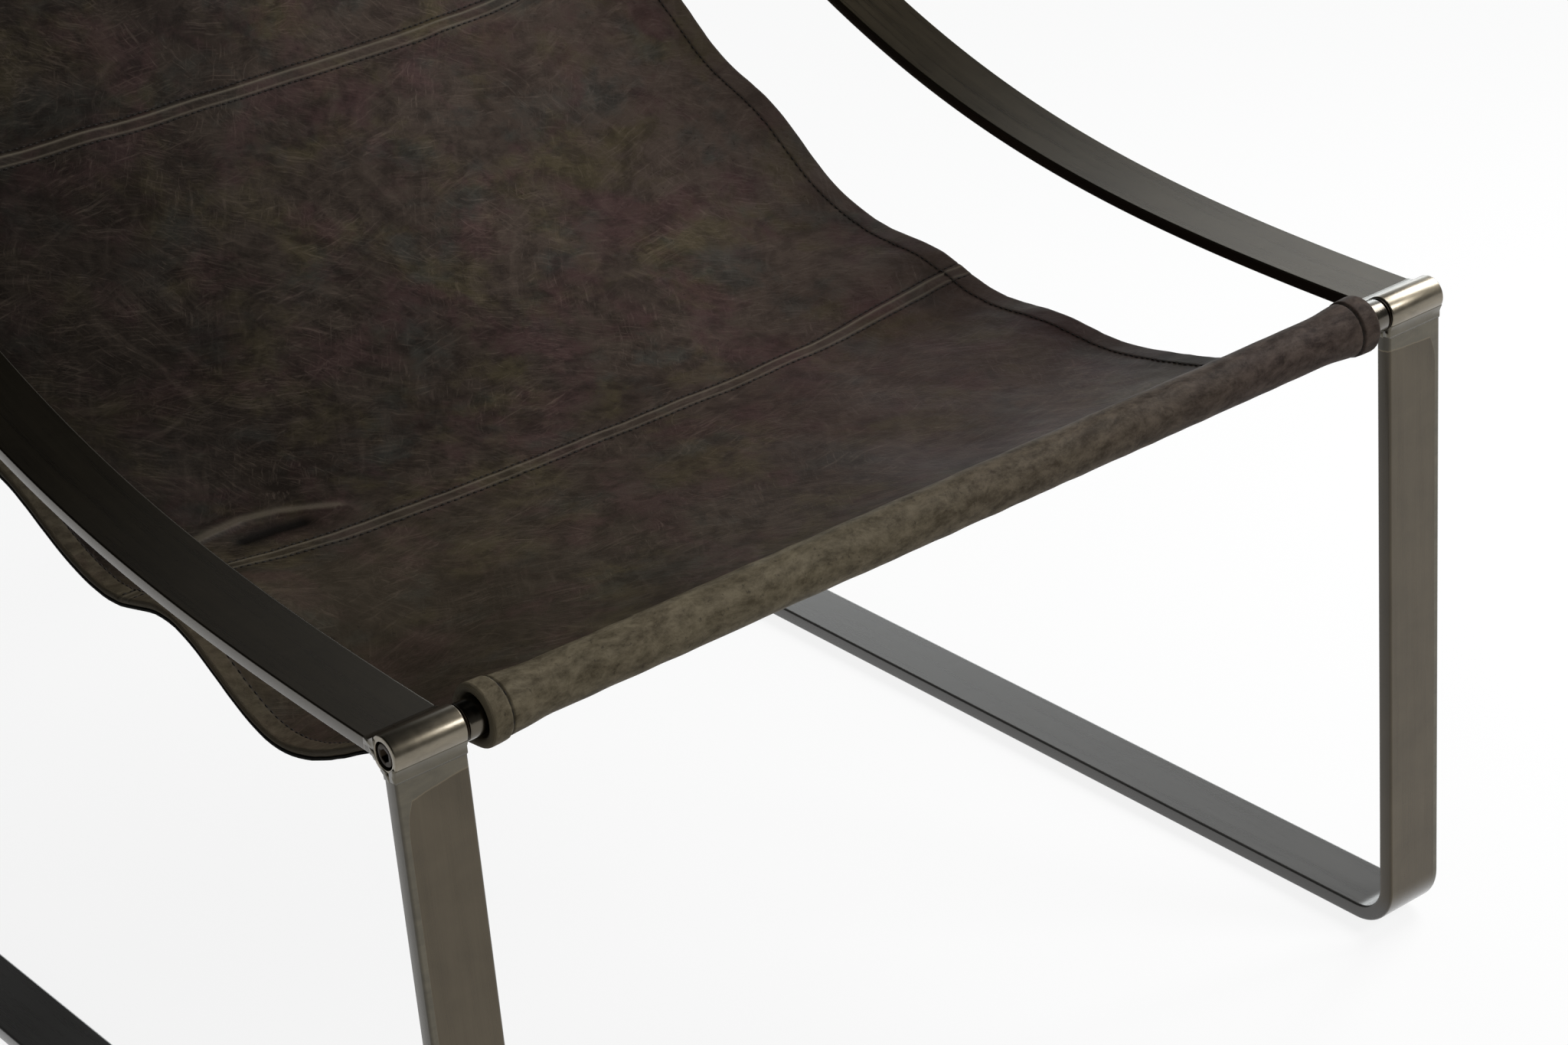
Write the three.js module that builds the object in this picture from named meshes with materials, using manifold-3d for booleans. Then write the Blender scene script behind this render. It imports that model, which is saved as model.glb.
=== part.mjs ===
// Leather sling lounge chair: two flat-bar side frames, two cross rods and a leather sling.
// Lengths are in millimetres. Y runs from the front legs to the back, Z is up, X is across.
import * as THREE from 'three';
import { mergeVertices } from 'three/addons/utils/BufferGeometryUtils.js';
import Module from 'manifold-3d';

const wasm = await Module();
wasm.setup();

// Side frames
const frameWidth = 692;
const barWidth = 40;
const barThickness = 9.5;
const barEdge = 1.2;
const bendRadius = 28;
const frontAxisHeight = 398;
const topAxisHeight = 735;
const axisSpread = 842.7;
const axisInset = 7.3;
const armFrontHandle = 366;
const armFrontRise = 3.5;
const armTopRun = 358;
const armTopDrop = 281;

// Barrels at the ends of the rods
const barrelDiameter = 21;
const barrelLip = 1;
const barrelBore = 9;
const barrelRecessDiameter = 14;
const barrelRecessDepth = 9;

// Cross rods, their spacers and bolts
const rodDiameter = 19;
const rodChamfer = 0.8;
const tappedBore = 8.6;
const tappedDepth = 26;
const spacerThickness = 1.2;
const boltDiameter = 8;
const boltHeadDiameter = 13;
const boltHeadHeight = 8;
const boltReach = 22;
const hexKeySize = 6;
const hexKeyDepth = 4;
const boltChamfer = 0.6;

// Rear stretcher
const stretcherHeight = 40;
const stretcherThickness = 6;
const stretcherCentreHeight = 250;
const stretcherBoltSpacing = 20;
const buttonHeadDiameter = 14;
const buttonHeadHeight = 4.4;
const buttonKeyDepth = 2.6;
const buttonCrown = 2.4;
const buttonTopShare = 0.7;

// Glides under the runners
const glideDiameter = 20;
const glideHeight = 3;
const glideChamfer = 0.8;
const glideStemDiameter = 5;
const glideStemLength = 5.5;
const glideInset = 70;

// Leather sling
const slingWidth = 587;
const slingOffset = -3;
const slingDrift = 16;
const leatherThickness = 2.8;
const liningThickness = 1.2;
const sleeveSlack = 1.2;
const sleeveReach = 28;
const sleeveFlare = 3.2;
const sleeveFlareReach = 36;
const sleeveTail = 12;
const frontPanelLength = 300;
const seatPanelLength = 345;
const slingLowSetback = 266;
const slingLowDrop = 65;
const slingFrontPull = 84;
const slingFrontHandle = 120;
const slingSeatHandle = 193;
const slingBackHandle = 242;
const waveReach = 150;

// Soft waves of the two side edges, as shares of the front panel: side, place, spread and rise
const edgeWaveShares = [
  [-1, 0.517, 0.203, -0.068],
  [-1, 0.843, 0.163, 0.08],
  [-1, 1.163, 0.2, 0.013],
  [-1, 1.373, 0.19, 0.062],
  [1, 0.73, 0.13, 0.021],
  [1, 1.07, 0.15, 0.038],
  [1, 1.603, 0.16, 0.056],
  [1, 1.977, 0.217, 0.045],
];

// Fits
const seatGap = 0.3;
const threadGap = 0.3;
const cutOverrun = 5;
const pointTolerance = 0.0001;

// Angles in degrees
const frontSleeveDip = 32;
const topSleeveDip = 59;
const frontLoopEnd = 45;
const frontLoopStart = 262;
const topLoopStart = 158;
const topLoopEnd = -52;

// Fineness of the facets
const roundSides = 28;
const smallSides = 16;
const bendSteps = 6;
const armSteps = 24;
const loopSteps = 12;
const bridgeSteps = 3;
const bridgeHandleShare = 0.35;
const boltPlaceShares = [-0.5, 0.5];
const panelSteps = 11;
const columnShares = [-1, -0.95, -0.88, -0.78, -0.62, -0.36, 0, 0.36, 0.62, 0.78, 0.88, 0.95, 1];

// Places that follow from the sizes above
const halfWidth = frameWidth / 2;
const innerFace = halfWidth - barWidth;
const frontAxis = new THREE.Vector2(axisInset, frontAxisHeight);
const topAxis = new THREE.Vector2(axisInset + axisSpread, topAxisHeight);
const frameDepth = topAxis.x + axisInset;
const rodEnd = innerFace - seatGap - spacerThickness - seatGap;
const radians = THREE.MathUtils.degToRad;

// Colours and finishes
function metal(colour, roughness) {
  return new THREE.MeshStandardMaterial({ color: colour, roughness, metalness: 1 });
}

function matt(colour, roughness) {
  return new THREE.MeshStandardMaterial({ color: colour, roughness, metalness: 0 });
}

const gunmetal = () => metal(0x55504a, 0.42);
const polishedSteel = () => metal(0x8a847a, 0.28);
const darkSteel = () => metal(0x2c2a28, 0.5);
const brownLeather = () => matt(0x3d362f, 0.5);
const blackLining = () => matt(0x1b1a19, 0.8);
const blackNylon = () => matt(0x161616, 0.6);

// Joining and cutting closed shapes
function solidOf(geometry) {
  const bare = geometry.clone();
  bare.deleteAttribute('normal');
  bare.deleteAttribute('uv');
  const merged = mergeVertices(bare, pointTolerance);
  const mesh = new wasm.Mesh({
    numProp: 3,
    vertProperties: Float32Array.from(merged.attributes.position.array),
    triVerts: Uint32Array.from(merged.index.array),
  });
  return new wasm.Manifold(mesh);
}

function geometryOf(solid) {
  const mesh = solid.getMesh();
  const geometry = new THREE.BufferGeometry();
  geometry.setAttribute('position', new THREE.BufferAttribute(Float32Array.from(mesh.vertProperties), 3));
  geometry.setIndex(new THREE.BufferAttribute(Uint32Array.from(mesh.triVerts), 1));
  geometry.computeVertexNormals();
  return geometry;
}

function cut(geometry, tools) {
  let solid = solidOf(geometry);
  for (const tool of tools) {
    solid = solid.subtract(solidOf(tool));
  }
  return geometryOf(solid);
}

// A side outline, drawn with Y to the right and Z up, given a width along X
function barGeometry(shape, width, edge) {
  const geometry = new THREE.ExtrudeGeometry(shape, {
    depth: width - 2 * edge,
    curveSegments: bendSteps,
    bevelThickness: edge,
    bevelSize: edge,
    bevelOffset: -edge,
    bevelSegments: 1,
  });
  geometry.translate(0, 0, edge - width / 2);
  const toSide = new THREE.Matrix4();
  toSide.makeBasis(new THREE.Vector3(0, 1, 0), new THREE.Vector3(0, 0, 1), new THREE.Vector3(1, 0, 0));
  return geometry.applyMatrix4(toSide);
}

// A round bar along X
function crossCylinder(radius, length, x, y, z, sides = roundSides) {
  const geometry = new THREE.CylinderGeometry(radius, radius, length, sides);
  geometry.rotateZ(Math.PI / 2);
  return geometry.translate(x, y, z);
}

// A turned piece: radius and place along the axis, which ends up along X
function turned(profile, sides) {
  const points = profile.map(([radius, along]) => new THREE.Vector2(radius, along));
  const geometry = new THREE.LatheGeometry(points, sides);
  return geometry.rotateZ(-Math.PI / 2);
}

// The bent base bar: front leg, runner and rear upright
function baseShape() {
  const shape = new THREE.Shape();
  const inner = bendRadius - barThickness;
  const rearBend = frameDepth - bendRadius;
  shape.moveTo(0, frontAxis.y);
  shape.lineTo(0, bendRadius);
  shape.absarc(bendRadius, bendRadius, bendRadius, Math.PI, 1.5 * Math.PI, false);
  shape.lineTo(rearBend, 0);
  shape.absarc(rearBend, bendRadius, bendRadius, -0.5 * Math.PI, 0, false);
  shape.lineTo(frameDepth, topAxis.y);
  shape.lineTo(frameDepth - barThickness, topAxis.y);
  shape.lineTo(frameDepth - barThickness, bendRadius);
  shape.absarc(rearBend, bendRadius, inner, 0, -0.5 * Math.PI, true);
  shape.lineTo(bendRadius, barThickness);
  shape.absarc(bendRadius, bendRadius, inner, -0.5 * Math.PI, -Math.PI, true);
  shape.lineTo(barThickness, frontAxis.y);
  shape.closePath();
  return shape;
}

// The arm's middle line sweeps from the front barrel up to the top barrel
function armCurve() {
  const start = new THREE.Vector3(0, frontAxis.x, frontAxis.y);
  const startHandle = new THREE.Vector3(0, frontAxis.x + armFrontHandle, frontAxis.y + armFrontRise);
  const endHandle = new THREE.Vector3(0, topAxis.x - armTopRun, topAxis.y - armTopDrop);
  const end = new THREE.Vector3(0, topAxis.x, topAxis.y);
  return new THREE.CubicBezierCurve3(start, startHandle, endHandle, end);
}

function armShape() {
  const curve = armCurve();
  const upper = [];
  const lower = [];
  for (let i = 0; i <= armSteps; i += 1) {
    const point = curve.getPointAt(i / armSteps);
    const tangent = curve.getTangentAt(i / armSteps);
    const normal = new THREE.Vector2(-tangent.z, tangent.y).multiplyScalar(barThickness / 2);
    upper.push(new THREE.Vector2(point.y + normal.x, point.z + normal.y));
    lower.push(new THREE.Vector2(point.y - normal.x, point.z - normal.y));
  }
  return new THREE.Shape([...lower, ...upper.reverse()]);
}

// Clearance round a barrel, which the bars are coped to
function barrelClearance(axis) {
  return crossCylinder(barrelDiameter / 2 + seatGap, barWidth + 2 * cutOverrun, 0, axis.x, axis.y);
}

// Clearance round the standing part of the base bar at one end of the arm
function standingClearance(outerFace, top) {
  const depth = barThickness + 2 * seatGap;
  const geometry = new THREE.BoxGeometry(barWidth + 2 * cutOverrun, depth, top);
  return geometry.translate(0, outerFace, top / 2);
}

// Holes along Y in the upright for the stretcher's bolts
function uprightHole(height) {
  const geometry = new THREE.CylinderGeometry(
    tappedBore / 2, tappedBore / 2, barThickness + 2 * cutOverrun, smallSides);
  return geometry.translate(0, frameDepth - barThickness / 2, height);
}

function stretcherBoltHeights() {
  return boltPlaceShares.map((share) => stretcherCentreHeight + share * stretcherBoltSpacing);
}

// Blind hole in the runner's underside for a glide's stem
function glideHole(y) {
  const radius = glideStemDiameter / 2 + seatGap;
  const depth = glideStemLength + seatGap;
  const geometry = new THREE.CylinderGeometry(radius, radius, depth + cutOverrun, smallSides);
  geometry.rotateX(Math.PI / 2);
  return geometry.translate(0, y, (depth - cutOverrun) / 2);
}

function glidePlaces() {
  return { front: glideInset, rear: frameDepth - glideInset };
}

function baseBar() {
  const tools = [barrelClearance(frontAxis), barrelClearance(topAxis)];
  for (const height of stretcherBoltHeights()) {
    tools.push(uprightHole(height));
  }
  for (const y of Object.values(glidePlaces())) {
    tools.push(glideHole(y));
  }
  return cut(barGeometry(baseShape(), barWidth, barEdge), tools);
}

function armBar() {
  return cut(barGeometry(armShape(), barWidth, barEdge), [
    barrelClearance(frontAxis),
    barrelClearance(topAxis),
    standingClearance(barThickness / 2, frontAxis.y),
    standingClearance(frameDepth - barThickness / 2, topAxis.y),
  ]);
}

// A barrel with its bolt bore, the head's recess at the outer end, the inner end at zero
function barrel() {
  const outer = barrelDiameter / 2;
  const bore = barrelBore / 2;
  const recess = barrelRecessDiameter / 2;
  const recessFloor = barWidth - barrelRecessDepth;
  return turned([
    [bore, 0],
    [outer - barrelLip, 0],
    [outer, barrelLip],
    [outer, barWidth - barrelLip],
    [outer - barrelLip, barWidth],
    [recess, barWidth],
    [recess, recessFloor],
    [bore, recessFloor],
    [bore, 0],
  ], roundSides);
}

// A rod with a tapped blind hole in each end
function crossRod() {
  const radius = rodDiameter / 2;
  const bore = tappedBore / 2;
  const floor = rodEnd - tappedDepth;
  return turned([
    [0, -floor],
    [bore, -floor],
    [bore, -rodEnd],
    [radius - rodChamfer, -rodEnd],
    [radius, rodChamfer - rodEnd],
    [radius, rodEnd - rodChamfer],
    [radius - rodChamfer, rodEnd],
    [bore, rodEnd],
    [bore, floor],
    [0, floor],
  ], roundSides);
}

function spacer() {
  const outer = barrelDiameter / 2 - barrelLip;
  const bore = barrelBore / 2;
  return turned([
    [bore, 0],
    [outer, 0],
    [outer, spacerThickness],
    [bore, spacerThickness],
    [bore, 0],
  ], roundSides);
}

// A six-sided key socket, cut from a head whose top is at the given place along X
function keySocket(top, depth) {
  const radius = hexKeySize / Math.sqrt(3);
  const geometry = new THREE.CylinderGeometry(radius, radius, depth + cutOverrun, 6);
  geometry.rotateZ(Math.PI / 2);
  return geometry.translate(top - depth + (depth + cutOverrun) / 2, 0, 0);
}

// A cap screw: its head sits on the recess floor, its shank runs into the rod
function rodBolt() {
  const head = boltHeadDiameter / 2;
  const shank = boltDiameter / 2;
  const seat = barWidth - barrelRecessDepth + seatGap;
  const top = seat + boltHeadHeight;
  const tip = rodEnd - innerFace - boltReach;
  const body = turned([
    [0, tip],
    [shank - boltChamfer, tip],
    [shank, tip + boltChamfer],
    [shank, seat],
    [head, seat],
    [head, top - boltChamfer],
    [head - boltChamfer, top],
    [0, top],
  ], smallSides);
  return cut(body, [keySocket(top, hexKeyDepth)]);
}

// A button-head screw through the stretcher into the upright, drawn along X from its seat at zero
function stretcherBolt() {
  const head = buttonHeadDiameter / 2;
  const shank = boltDiameter / 2;
  const tip = -(stretcherThickness + seatGap + barThickness);
  const body = turned([
    [0, tip],
    [shank - boltChamfer, tip],
    [shank, tip + boltChamfer],
    [shank, seatGap],
    [head, seatGap],
    [head, seatGap + buttonHeadHeight - buttonCrown],
    [head * buttonTopShare, seatGap + buttonHeadHeight],
    [0, seatGap + buttonHeadHeight],
  ], smallSides);
  return cut(body, [keySocket(seatGap + buttonHeadHeight, buttonKeyDepth)]);
}

function stretcher() {
  const outline = new THREE.Shape();
  const low = -stretcherThickness / 2;
  outline.moveTo(low, -stretcherHeight / 2);
  outline.lineTo(-low, -stretcherHeight / 2);
  outline.lineTo(-low, stretcherHeight / 2);
  outline.lineTo(low, stretcherHeight / 2);
  outline.closePath();
  const holes = [];
  for (const side of [-1, 1]) {
    for (const height of stretcherBoltHeights()) {
      const radius = boltDiameter / 2 + threadGap;
      const depth = stretcherThickness + 2 * cutOverrun;
      const hole = new THREE.CylinderGeometry(radius, radius, depth, smallSides);
      holes.push(hole.translate(side * (halfWidth - barWidth / 2), 0, height - stretcherCentreHeight));
    }
  }
  return cut(barGeometry(outline, frameWidth - 2 * barEdge, barEdge / 2), holes);
}

// A glide: foot below the runner, stem up into it, drawn along X and turned upright when placed
function glide() {
  const foot = glideDiameter / 2;
  const stem = glideStemDiameter / 2;
  return turned([
    [0, -glideHeight],
    [foot - glideChamfer, -glideHeight],
    [foot, glideChamfer - glideHeight],
    [foot, -seatGap],
    [stem, -seatGap],
    [stem, glideStemLength],
    [0, glideStemLength],
  ], smallSides).rotateY(-Math.PI / 2);
}

// The sling's middle line
function pointOnRay(axis, length, angle) {
  return new THREE.Vector2(axis.x + length * Math.cos(angle), axis.y + length * Math.sin(angle));
}

function atSide(point) {
  return new THREE.Vector3(0, point.x, point.y);
}

function slingCurve() {
  const frontDip = radians(-frontSleeveDip);
  const topRise = radians(topSleeveDip);
  const start = pointOnRay(frontAxis, sleeveReach, frontDip);
  const end = pointOnRay(topAxis, sleeveReach, topRise + Math.PI);
  const low = new THREE.Vector2(frontAxis.x + slingLowSetback, frontAxis.y - slingLowDrop);
  const curve = new THREE.CurvePath();
  curve.add(new THREE.CubicBezierCurve3(
    atSide(start),
    atSide(pointOnRay(start, slingFrontPull, frontDip)),
    atSide(new THREE.Vector2(low.x - slingFrontHandle, low.y)),
    atSide(low),
  ));
  curve.add(new THREE.CubicBezierCurve3(
    atSide(low),
    atSide(new THREE.Vector2(low.x + slingSeatHandle, low.y)),
    atSide(pointOnRay(end, slingBackHandle, topRise + Math.PI)),
    atSide(end),
  ));
  return curve;
}

const slingLine = slingCurve();
const slingLength = slingLine.getLength();

// A station holds a place on the middle line, the face normal there, its run and its share of the flare
function station(point, normal, run, flareShare) {
  return { point, normal, run, flareShare };
}

function lineStation(run, drop = 0, flip = 1) {
  const share = Math.min(Math.max(run / slingLength, 0), 1);
  const place = slingLine.getPointAt(share);
  const tangent = slingLine.getTangentAt(share);
  const normal = new THREE.Vector2(-tangent.z, tangent.y).normalize();
  const point = new THREE.Vector2(place.y - drop * normal.x, place.z - drop * normal.y);
  return station(point, normal.multiplyScalar(flip), run, 0);
}

function loopStations(axis, fromDegrees, toDegrees, run) {
  const radius = rodDiameter / 2 + sleeveSlack + leatherThickness / 2;
  const list = [];
  for (let i = 0; i <= loopSteps; i += 1) {
    const angle = radians(THREE.MathUtils.lerp(fromDegrees, toDegrees, i / loopSteps));
    const normal = new THREE.Vector2(Math.cos(angle), Math.sin(angle));
    list.push(station(pointOnRay(axis, radius, angle), normal, run, 1));
  }
  return list;
}

// Stations on a smooth bridge between two stations, without its ends
function bridgeStations(from, to) {
  const reach = from.point.distanceTo(to.point) * bridgeHandleShare;
  const ahead = (normal) => new THREE.Vector2(normal.y, -normal.x);
  const first = from.point.clone().addScaledVector(ahead(from.normal), reach);
  const second = to.point.clone().addScaledVector(ahead(to.normal), -reach);
  const curve = new THREE.CubicBezierCurve(from.point, first, second, to.point);
  const list = [];
  for (let i = 1; i <= bridgeSteps; i += 1) {
    const share = i / (bridgeSteps + 1);
    const tangent = curve.getTangent(share);
    const normal = new THREE.Vector2(-tangent.y, tangent.x);
    const run = THREE.MathUtils.lerp(from.run, to.run, share);
    const flareShare = THREE.MathUtils.lerp(from.flareShare, to.flareShare, share);
    list.push(station(curve.getPoint(share), normal, run, flareShare));
  }
  return list;
}

function evenRuns(from, to) {
  const runs = [];
  for (let i = 0; i <= panelSteps; i += 1) {
    runs.push(THREE.MathUtils.lerp(from, to, i / panelSteps));
  }
  return runs;
}

const tailEnd = sleeveTail;
const liningStart = tailEnd + seatGap;
const seatStart = frontPanelLength;
const backStart = frontPanelLength + seatPanelLength;
const liningEnd = slingLength - liningStart;
const frontRuns = evenRuns(liningStart, seatStart - seatGap / 2);
const seatRuns = evenRuns(seatStart + seatGap / 2, backStart - seatGap / 2);
const backRuns = evenRuns(backStart + seatGap / 2, liningEnd);
const layerDrop = leatherThickness + seatGap;

function frontPanelStations() {
  const tail = [lineStation(tailEnd, layerDrop, -1), lineStation(0, layerDrop, -1)];
  const loop = loopStations(frontAxis, frontLoopStart, frontLoopEnd, 0);
  const panel = [lineStation(0), lineStation(tailEnd), ...frontRuns.map((run) => lineStation(run))];
  return [
    ...tail,
    ...bridgeStations(tail[1], loop[0]),
    ...loop,
    ...bridgeStations(loop[loopSteps], panel[0]),
    ...panel,
  ];
}

function backPanelStations() {
  const last = slingLength - tailEnd;
  const panel = [...backRuns.map((run) => lineStation(run)), lineStation(last), lineStation(slingLength)];
  const loop = loopStations(topAxis, topLoopStart, topLoopEnd, slingLength);
  const tail = [lineStation(slingLength, layerDrop, -1), lineStation(last, layerDrop, -1)];
  return [
    ...panel,
    ...bridgeStations(panel[panel.length - 1], loop[0]),
    ...loop,
    ...bridgeStations(loop[loopSteps], tail[0]),
    ...tail,
  ];
}

function liningStations() {
  const drop = leatherThickness / 2 + seatGap + liningThickness / 2;
  return [...frontRuns, ...seatRuns, ...backRuns].map((run) => lineStation(run, drop));
}

// How far the side edge rises or dips at a place on the sling
function waveRise(run, across) {
  const fromEdge = (1 - Math.abs(across)) * (slingWidth / 2);
  const edgeShare = 1 - THREE.MathUtils.smoothstep(fromEdge, 0, waveReach);
  let rise = 0;
  for (const [side, place, spread, height] of edgeWaveShares) {
    if (side * across > 0) {
      rise += height * Math.exp(-(((run / frontPanelLength - place) / spread) ** 2));
    }
  }
  return rise * edgeShare * frontPanelLength;
}

function flareOut(across) {
  const fromEdge = (1 - Math.abs(across)) * (slingWidth / 2);
  return sleeveFlare * (1 - THREE.MathUtils.smoothstep(fromEdge, 0, sleeveFlareReach));
}

function sheetPoint(place, across, offset) {
  const out = offset + flareOut(across) * place.flareShare;
  const drift = slingOffset - slingDrift * Math.sin((Math.PI * place.run) / slingLength);
  return new THREE.Vector3(
    (across * slingWidth) / 2 + drift,
    place.point.x + out * place.normal.x,
    place.point.y + out * place.normal.y + waveRise(place.run, across),
  );
}

// A closed sheet of even thickness along the stations and across the columns
function sheetGeometry(stations, thickness) {
  const rows = stations.length;
  const columns = columnShares.length;
  const positions = [];
  for (const face of [1, -1]) {
    for (const place of stations) {
      for (const across of columnShares) {
        positions.push(...sheetPoint(place, across, (face * thickness) / 2).toArray());
      }
    }
  }
  const top = (i, j) => i * columns + j;
  const under = (i, j) => (rows + i) * columns + j;
  const faces = [];
  const quad = (a, b, c, d) => faces.push(a, b, c, a, c, d);
  for (let i = 0; i + 1 < rows; i += 1) {
    for (let j = 0; j + 1 < columns; j += 1) {
      quad(top(i, j), top(i, j + 1), top(i + 1, j + 1), top(i + 1, j));
      quad(under(i, j), under(i + 1, j), under(i + 1, j + 1), under(i, j + 1));
    }
    quad(top(i, 0), top(i + 1, 0), under(i + 1, 0), under(i, 0));
    const end = columns - 1;
    quad(top(i, end), under(i, end), under(i + 1, end), top(i + 1, end));
  }
  for (let j = 0; j + 1 < columns; j += 1) {
    const end = rows - 1;
    quad(top(0, j), under(0, j), under(0, j + 1), top(0, j + 1));
    quad(top(end, j), top(end, j + 1), under(end, j + 1), under(end, j));
  }
  const geometry = new THREE.BufferGeometry();
  geometry.setAttribute('position', new THREE.Float32BufferAttribute(positions, 3));
  geometry.setIndex(faces);
  geometry.computeVertexNormals();
  return geometry;
}

// Assembly
const chair = new THREE.Group();

function addMesh(parent, name, geometry, material) {
  const mesh = new THREE.Mesh(geometry, material);
  mesh.name = name;
  parent.add(mesh);
  return mesh;
}

function addBarAndArm(side, name) {
  const centre = side * (halfWidth - barWidth / 2);
  addMesh(chair, `${name}_base_bar`, baseBar(), gunmetal()).position.x = centre;
  addMesh(chair, `${name}_arm_bar`, armBar(), gunmetal()).position.x = centre;
}

// The pieces at one end of a rod, drawn for the +X side and turned round Z for the other
function addRodEnd(side, name, axis) {
  const end = new THREE.Group();
  end.position.set(side * innerFace, axis.x, axis.y);
  end.rotation.z = side > 0 ? 0 : Math.PI;
  chair.add(end);
  addMesh(end, `${name}_barrel`, barrel(), polishedSteel());
  addMesh(end, `${name}_bolt`, rodBolt(), darkSteel());
  addMesh(end, `${name}_spacer`, spacer(), darkSteel()).position.x = -(seatGap + spacerThickness);
}

function addRod(name, axis) {
  addMesh(chair, `${name}_rod`, crossRod(), gunmetal()).position.set(0, axis.x, axis.y);
}

function addGlides(side, name) {
  for (const [place, y] of Object.entries(glidePlaces())) {
    const foot = addMesh(chair, `${name}_${place}_glide`, glide(), blackNylon());
    foot.position.set(side * (halfWidth - barWidth / 2), y, 0);
  }
}

function addStretcher() {
  const front = frameDepth - barThickness - seatGap - stretcherThickness;
  const bar = addMesh(chair, 'rear_stretcher', stretcher(), gunmetal());
  bar.position.set(0, front + stretcherThickness / 2, stretcherCentreHeight);
  for (const [side, name] of [[-1, 'left'], [1, 'right']]) {
    stretcherBoltHeights().forEach((height, index) => {
      const level = index === 0 ? 'lower' : 'upper';
      const bolt = addMesh(chair, `${name}_${level}_stretcher_bolt`, stretcherBolt(), darkSteel());
      bolt.rotation.z = -Math.PI / 2;
      bolt.position.set(side * (halfWidth - barWidth / 2), front, height);
    });
  }
}

function addSling() {
  addMesh(chair, 'sling_front_panel', sheetGeometry(frontPanelStations(), leatherThickness), brownLeather());
  const seat = seatRuns.map((run) => lineStation(run));
  addMesh(chair, 'sling_seat_panel', sheetGeometry(seat, leatherThickness), brownLeather());
  addMesh(chair, 'sling_back_panel', sheetGeometry(backPanelStations(), leatherThickness), brownLeather());
  addMesh(chair, 'sling_lining', sheetGeometry(liningStations(), liningThickness), blackLining());
}

for (const [side, name] of [[-1, 'left'], [1, 'right']]) {
  addBarAndArm(side, name);
  addRodEnd(side, `${name}_front`, frontAxis);
  addRodEnd(side, `${name}_top`, topAxis);
  addGlides(side, name);
}
addRod('front', frontAxis);
addRod('top', topAxis);
addStretcher();
addSling();

// The origin is on the floor, under the middle of the chair
chair.updateMatrixWorld(true);
const box = new THREE.Box3().setFromObject(chair, true);
chair.position.set(-(box.min.x + box.max.x) / 2, -(box.min.y + box.max.y) / 2, -box.min.z);

export default chair;
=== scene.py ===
import math

import bmesh
import bpy
import numpy as np
from mathutils import Matrix, Vector


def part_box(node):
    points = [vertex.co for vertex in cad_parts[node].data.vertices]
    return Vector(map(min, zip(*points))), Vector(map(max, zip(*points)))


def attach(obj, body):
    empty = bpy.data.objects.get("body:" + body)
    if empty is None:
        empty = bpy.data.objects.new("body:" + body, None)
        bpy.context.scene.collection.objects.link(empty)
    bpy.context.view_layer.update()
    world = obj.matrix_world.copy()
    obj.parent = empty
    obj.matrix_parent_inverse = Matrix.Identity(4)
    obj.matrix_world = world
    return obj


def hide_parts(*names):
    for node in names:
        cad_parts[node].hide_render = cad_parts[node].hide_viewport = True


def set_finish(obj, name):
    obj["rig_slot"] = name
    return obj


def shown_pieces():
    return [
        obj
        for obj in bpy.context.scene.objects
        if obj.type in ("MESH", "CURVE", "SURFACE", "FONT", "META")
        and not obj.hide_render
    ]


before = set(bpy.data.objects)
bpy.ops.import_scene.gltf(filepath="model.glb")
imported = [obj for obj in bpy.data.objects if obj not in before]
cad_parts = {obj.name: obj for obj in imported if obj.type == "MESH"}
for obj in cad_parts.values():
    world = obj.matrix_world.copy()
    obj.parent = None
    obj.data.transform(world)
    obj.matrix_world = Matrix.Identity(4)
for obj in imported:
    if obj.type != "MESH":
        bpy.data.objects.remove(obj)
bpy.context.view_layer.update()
scene = bpy.context.scene
rng = np.random.default_rng(11)

# The photograph's frame and the camera fitted to its straight edges
IMAGE_WIDTH = 2048
SENSOR_WIDTH = 36
FOCAL_PIXELS = 4928
CAMERA_PLACE = Vector((-1.0843, -1.7189, 1.246))
CAMERA_AZIMUTH = math.radians(-36.915)
CAMERA_ELEVATION = math.radians(26.680)
CAMERA_ROLL = math.radians(-4.786)

SIDES = ((-1, "left"), (1, "right"))

# Bars
BAR_WIDTH = 0.040
BAR_THICKNESS = 0.0095
ARM_THICKNESS = 0.0074
BAR_EDGE = 0.0014
ARM_EDGE = 0.0008
BEND_RADIUS = 0.028
ARM_FRONT_HANDLE = Vector((0.366, 0.0035))
ARM_TOP_HANDLE = Vector((0.358, 0.281))

# Barrels, bolts and rods
BARREL_RADIUS = 0.0102
BARREL_LIP = 0.0008
RECESS_RADIUS = 0.007
RECESS_DEPTH = 0.009
RECESS_LIP = 0.0005
BORE_RADIUS = 0.0045
HEAD_RADIUS = 0.0060
HEAD_HEIGHT = 0.008
HEAD_CROWN = 0.0006
KEY_SIZE = 0.006
KEY_DEPTH = 0.004
ROD_CHAMFER = 0.0009

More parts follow.
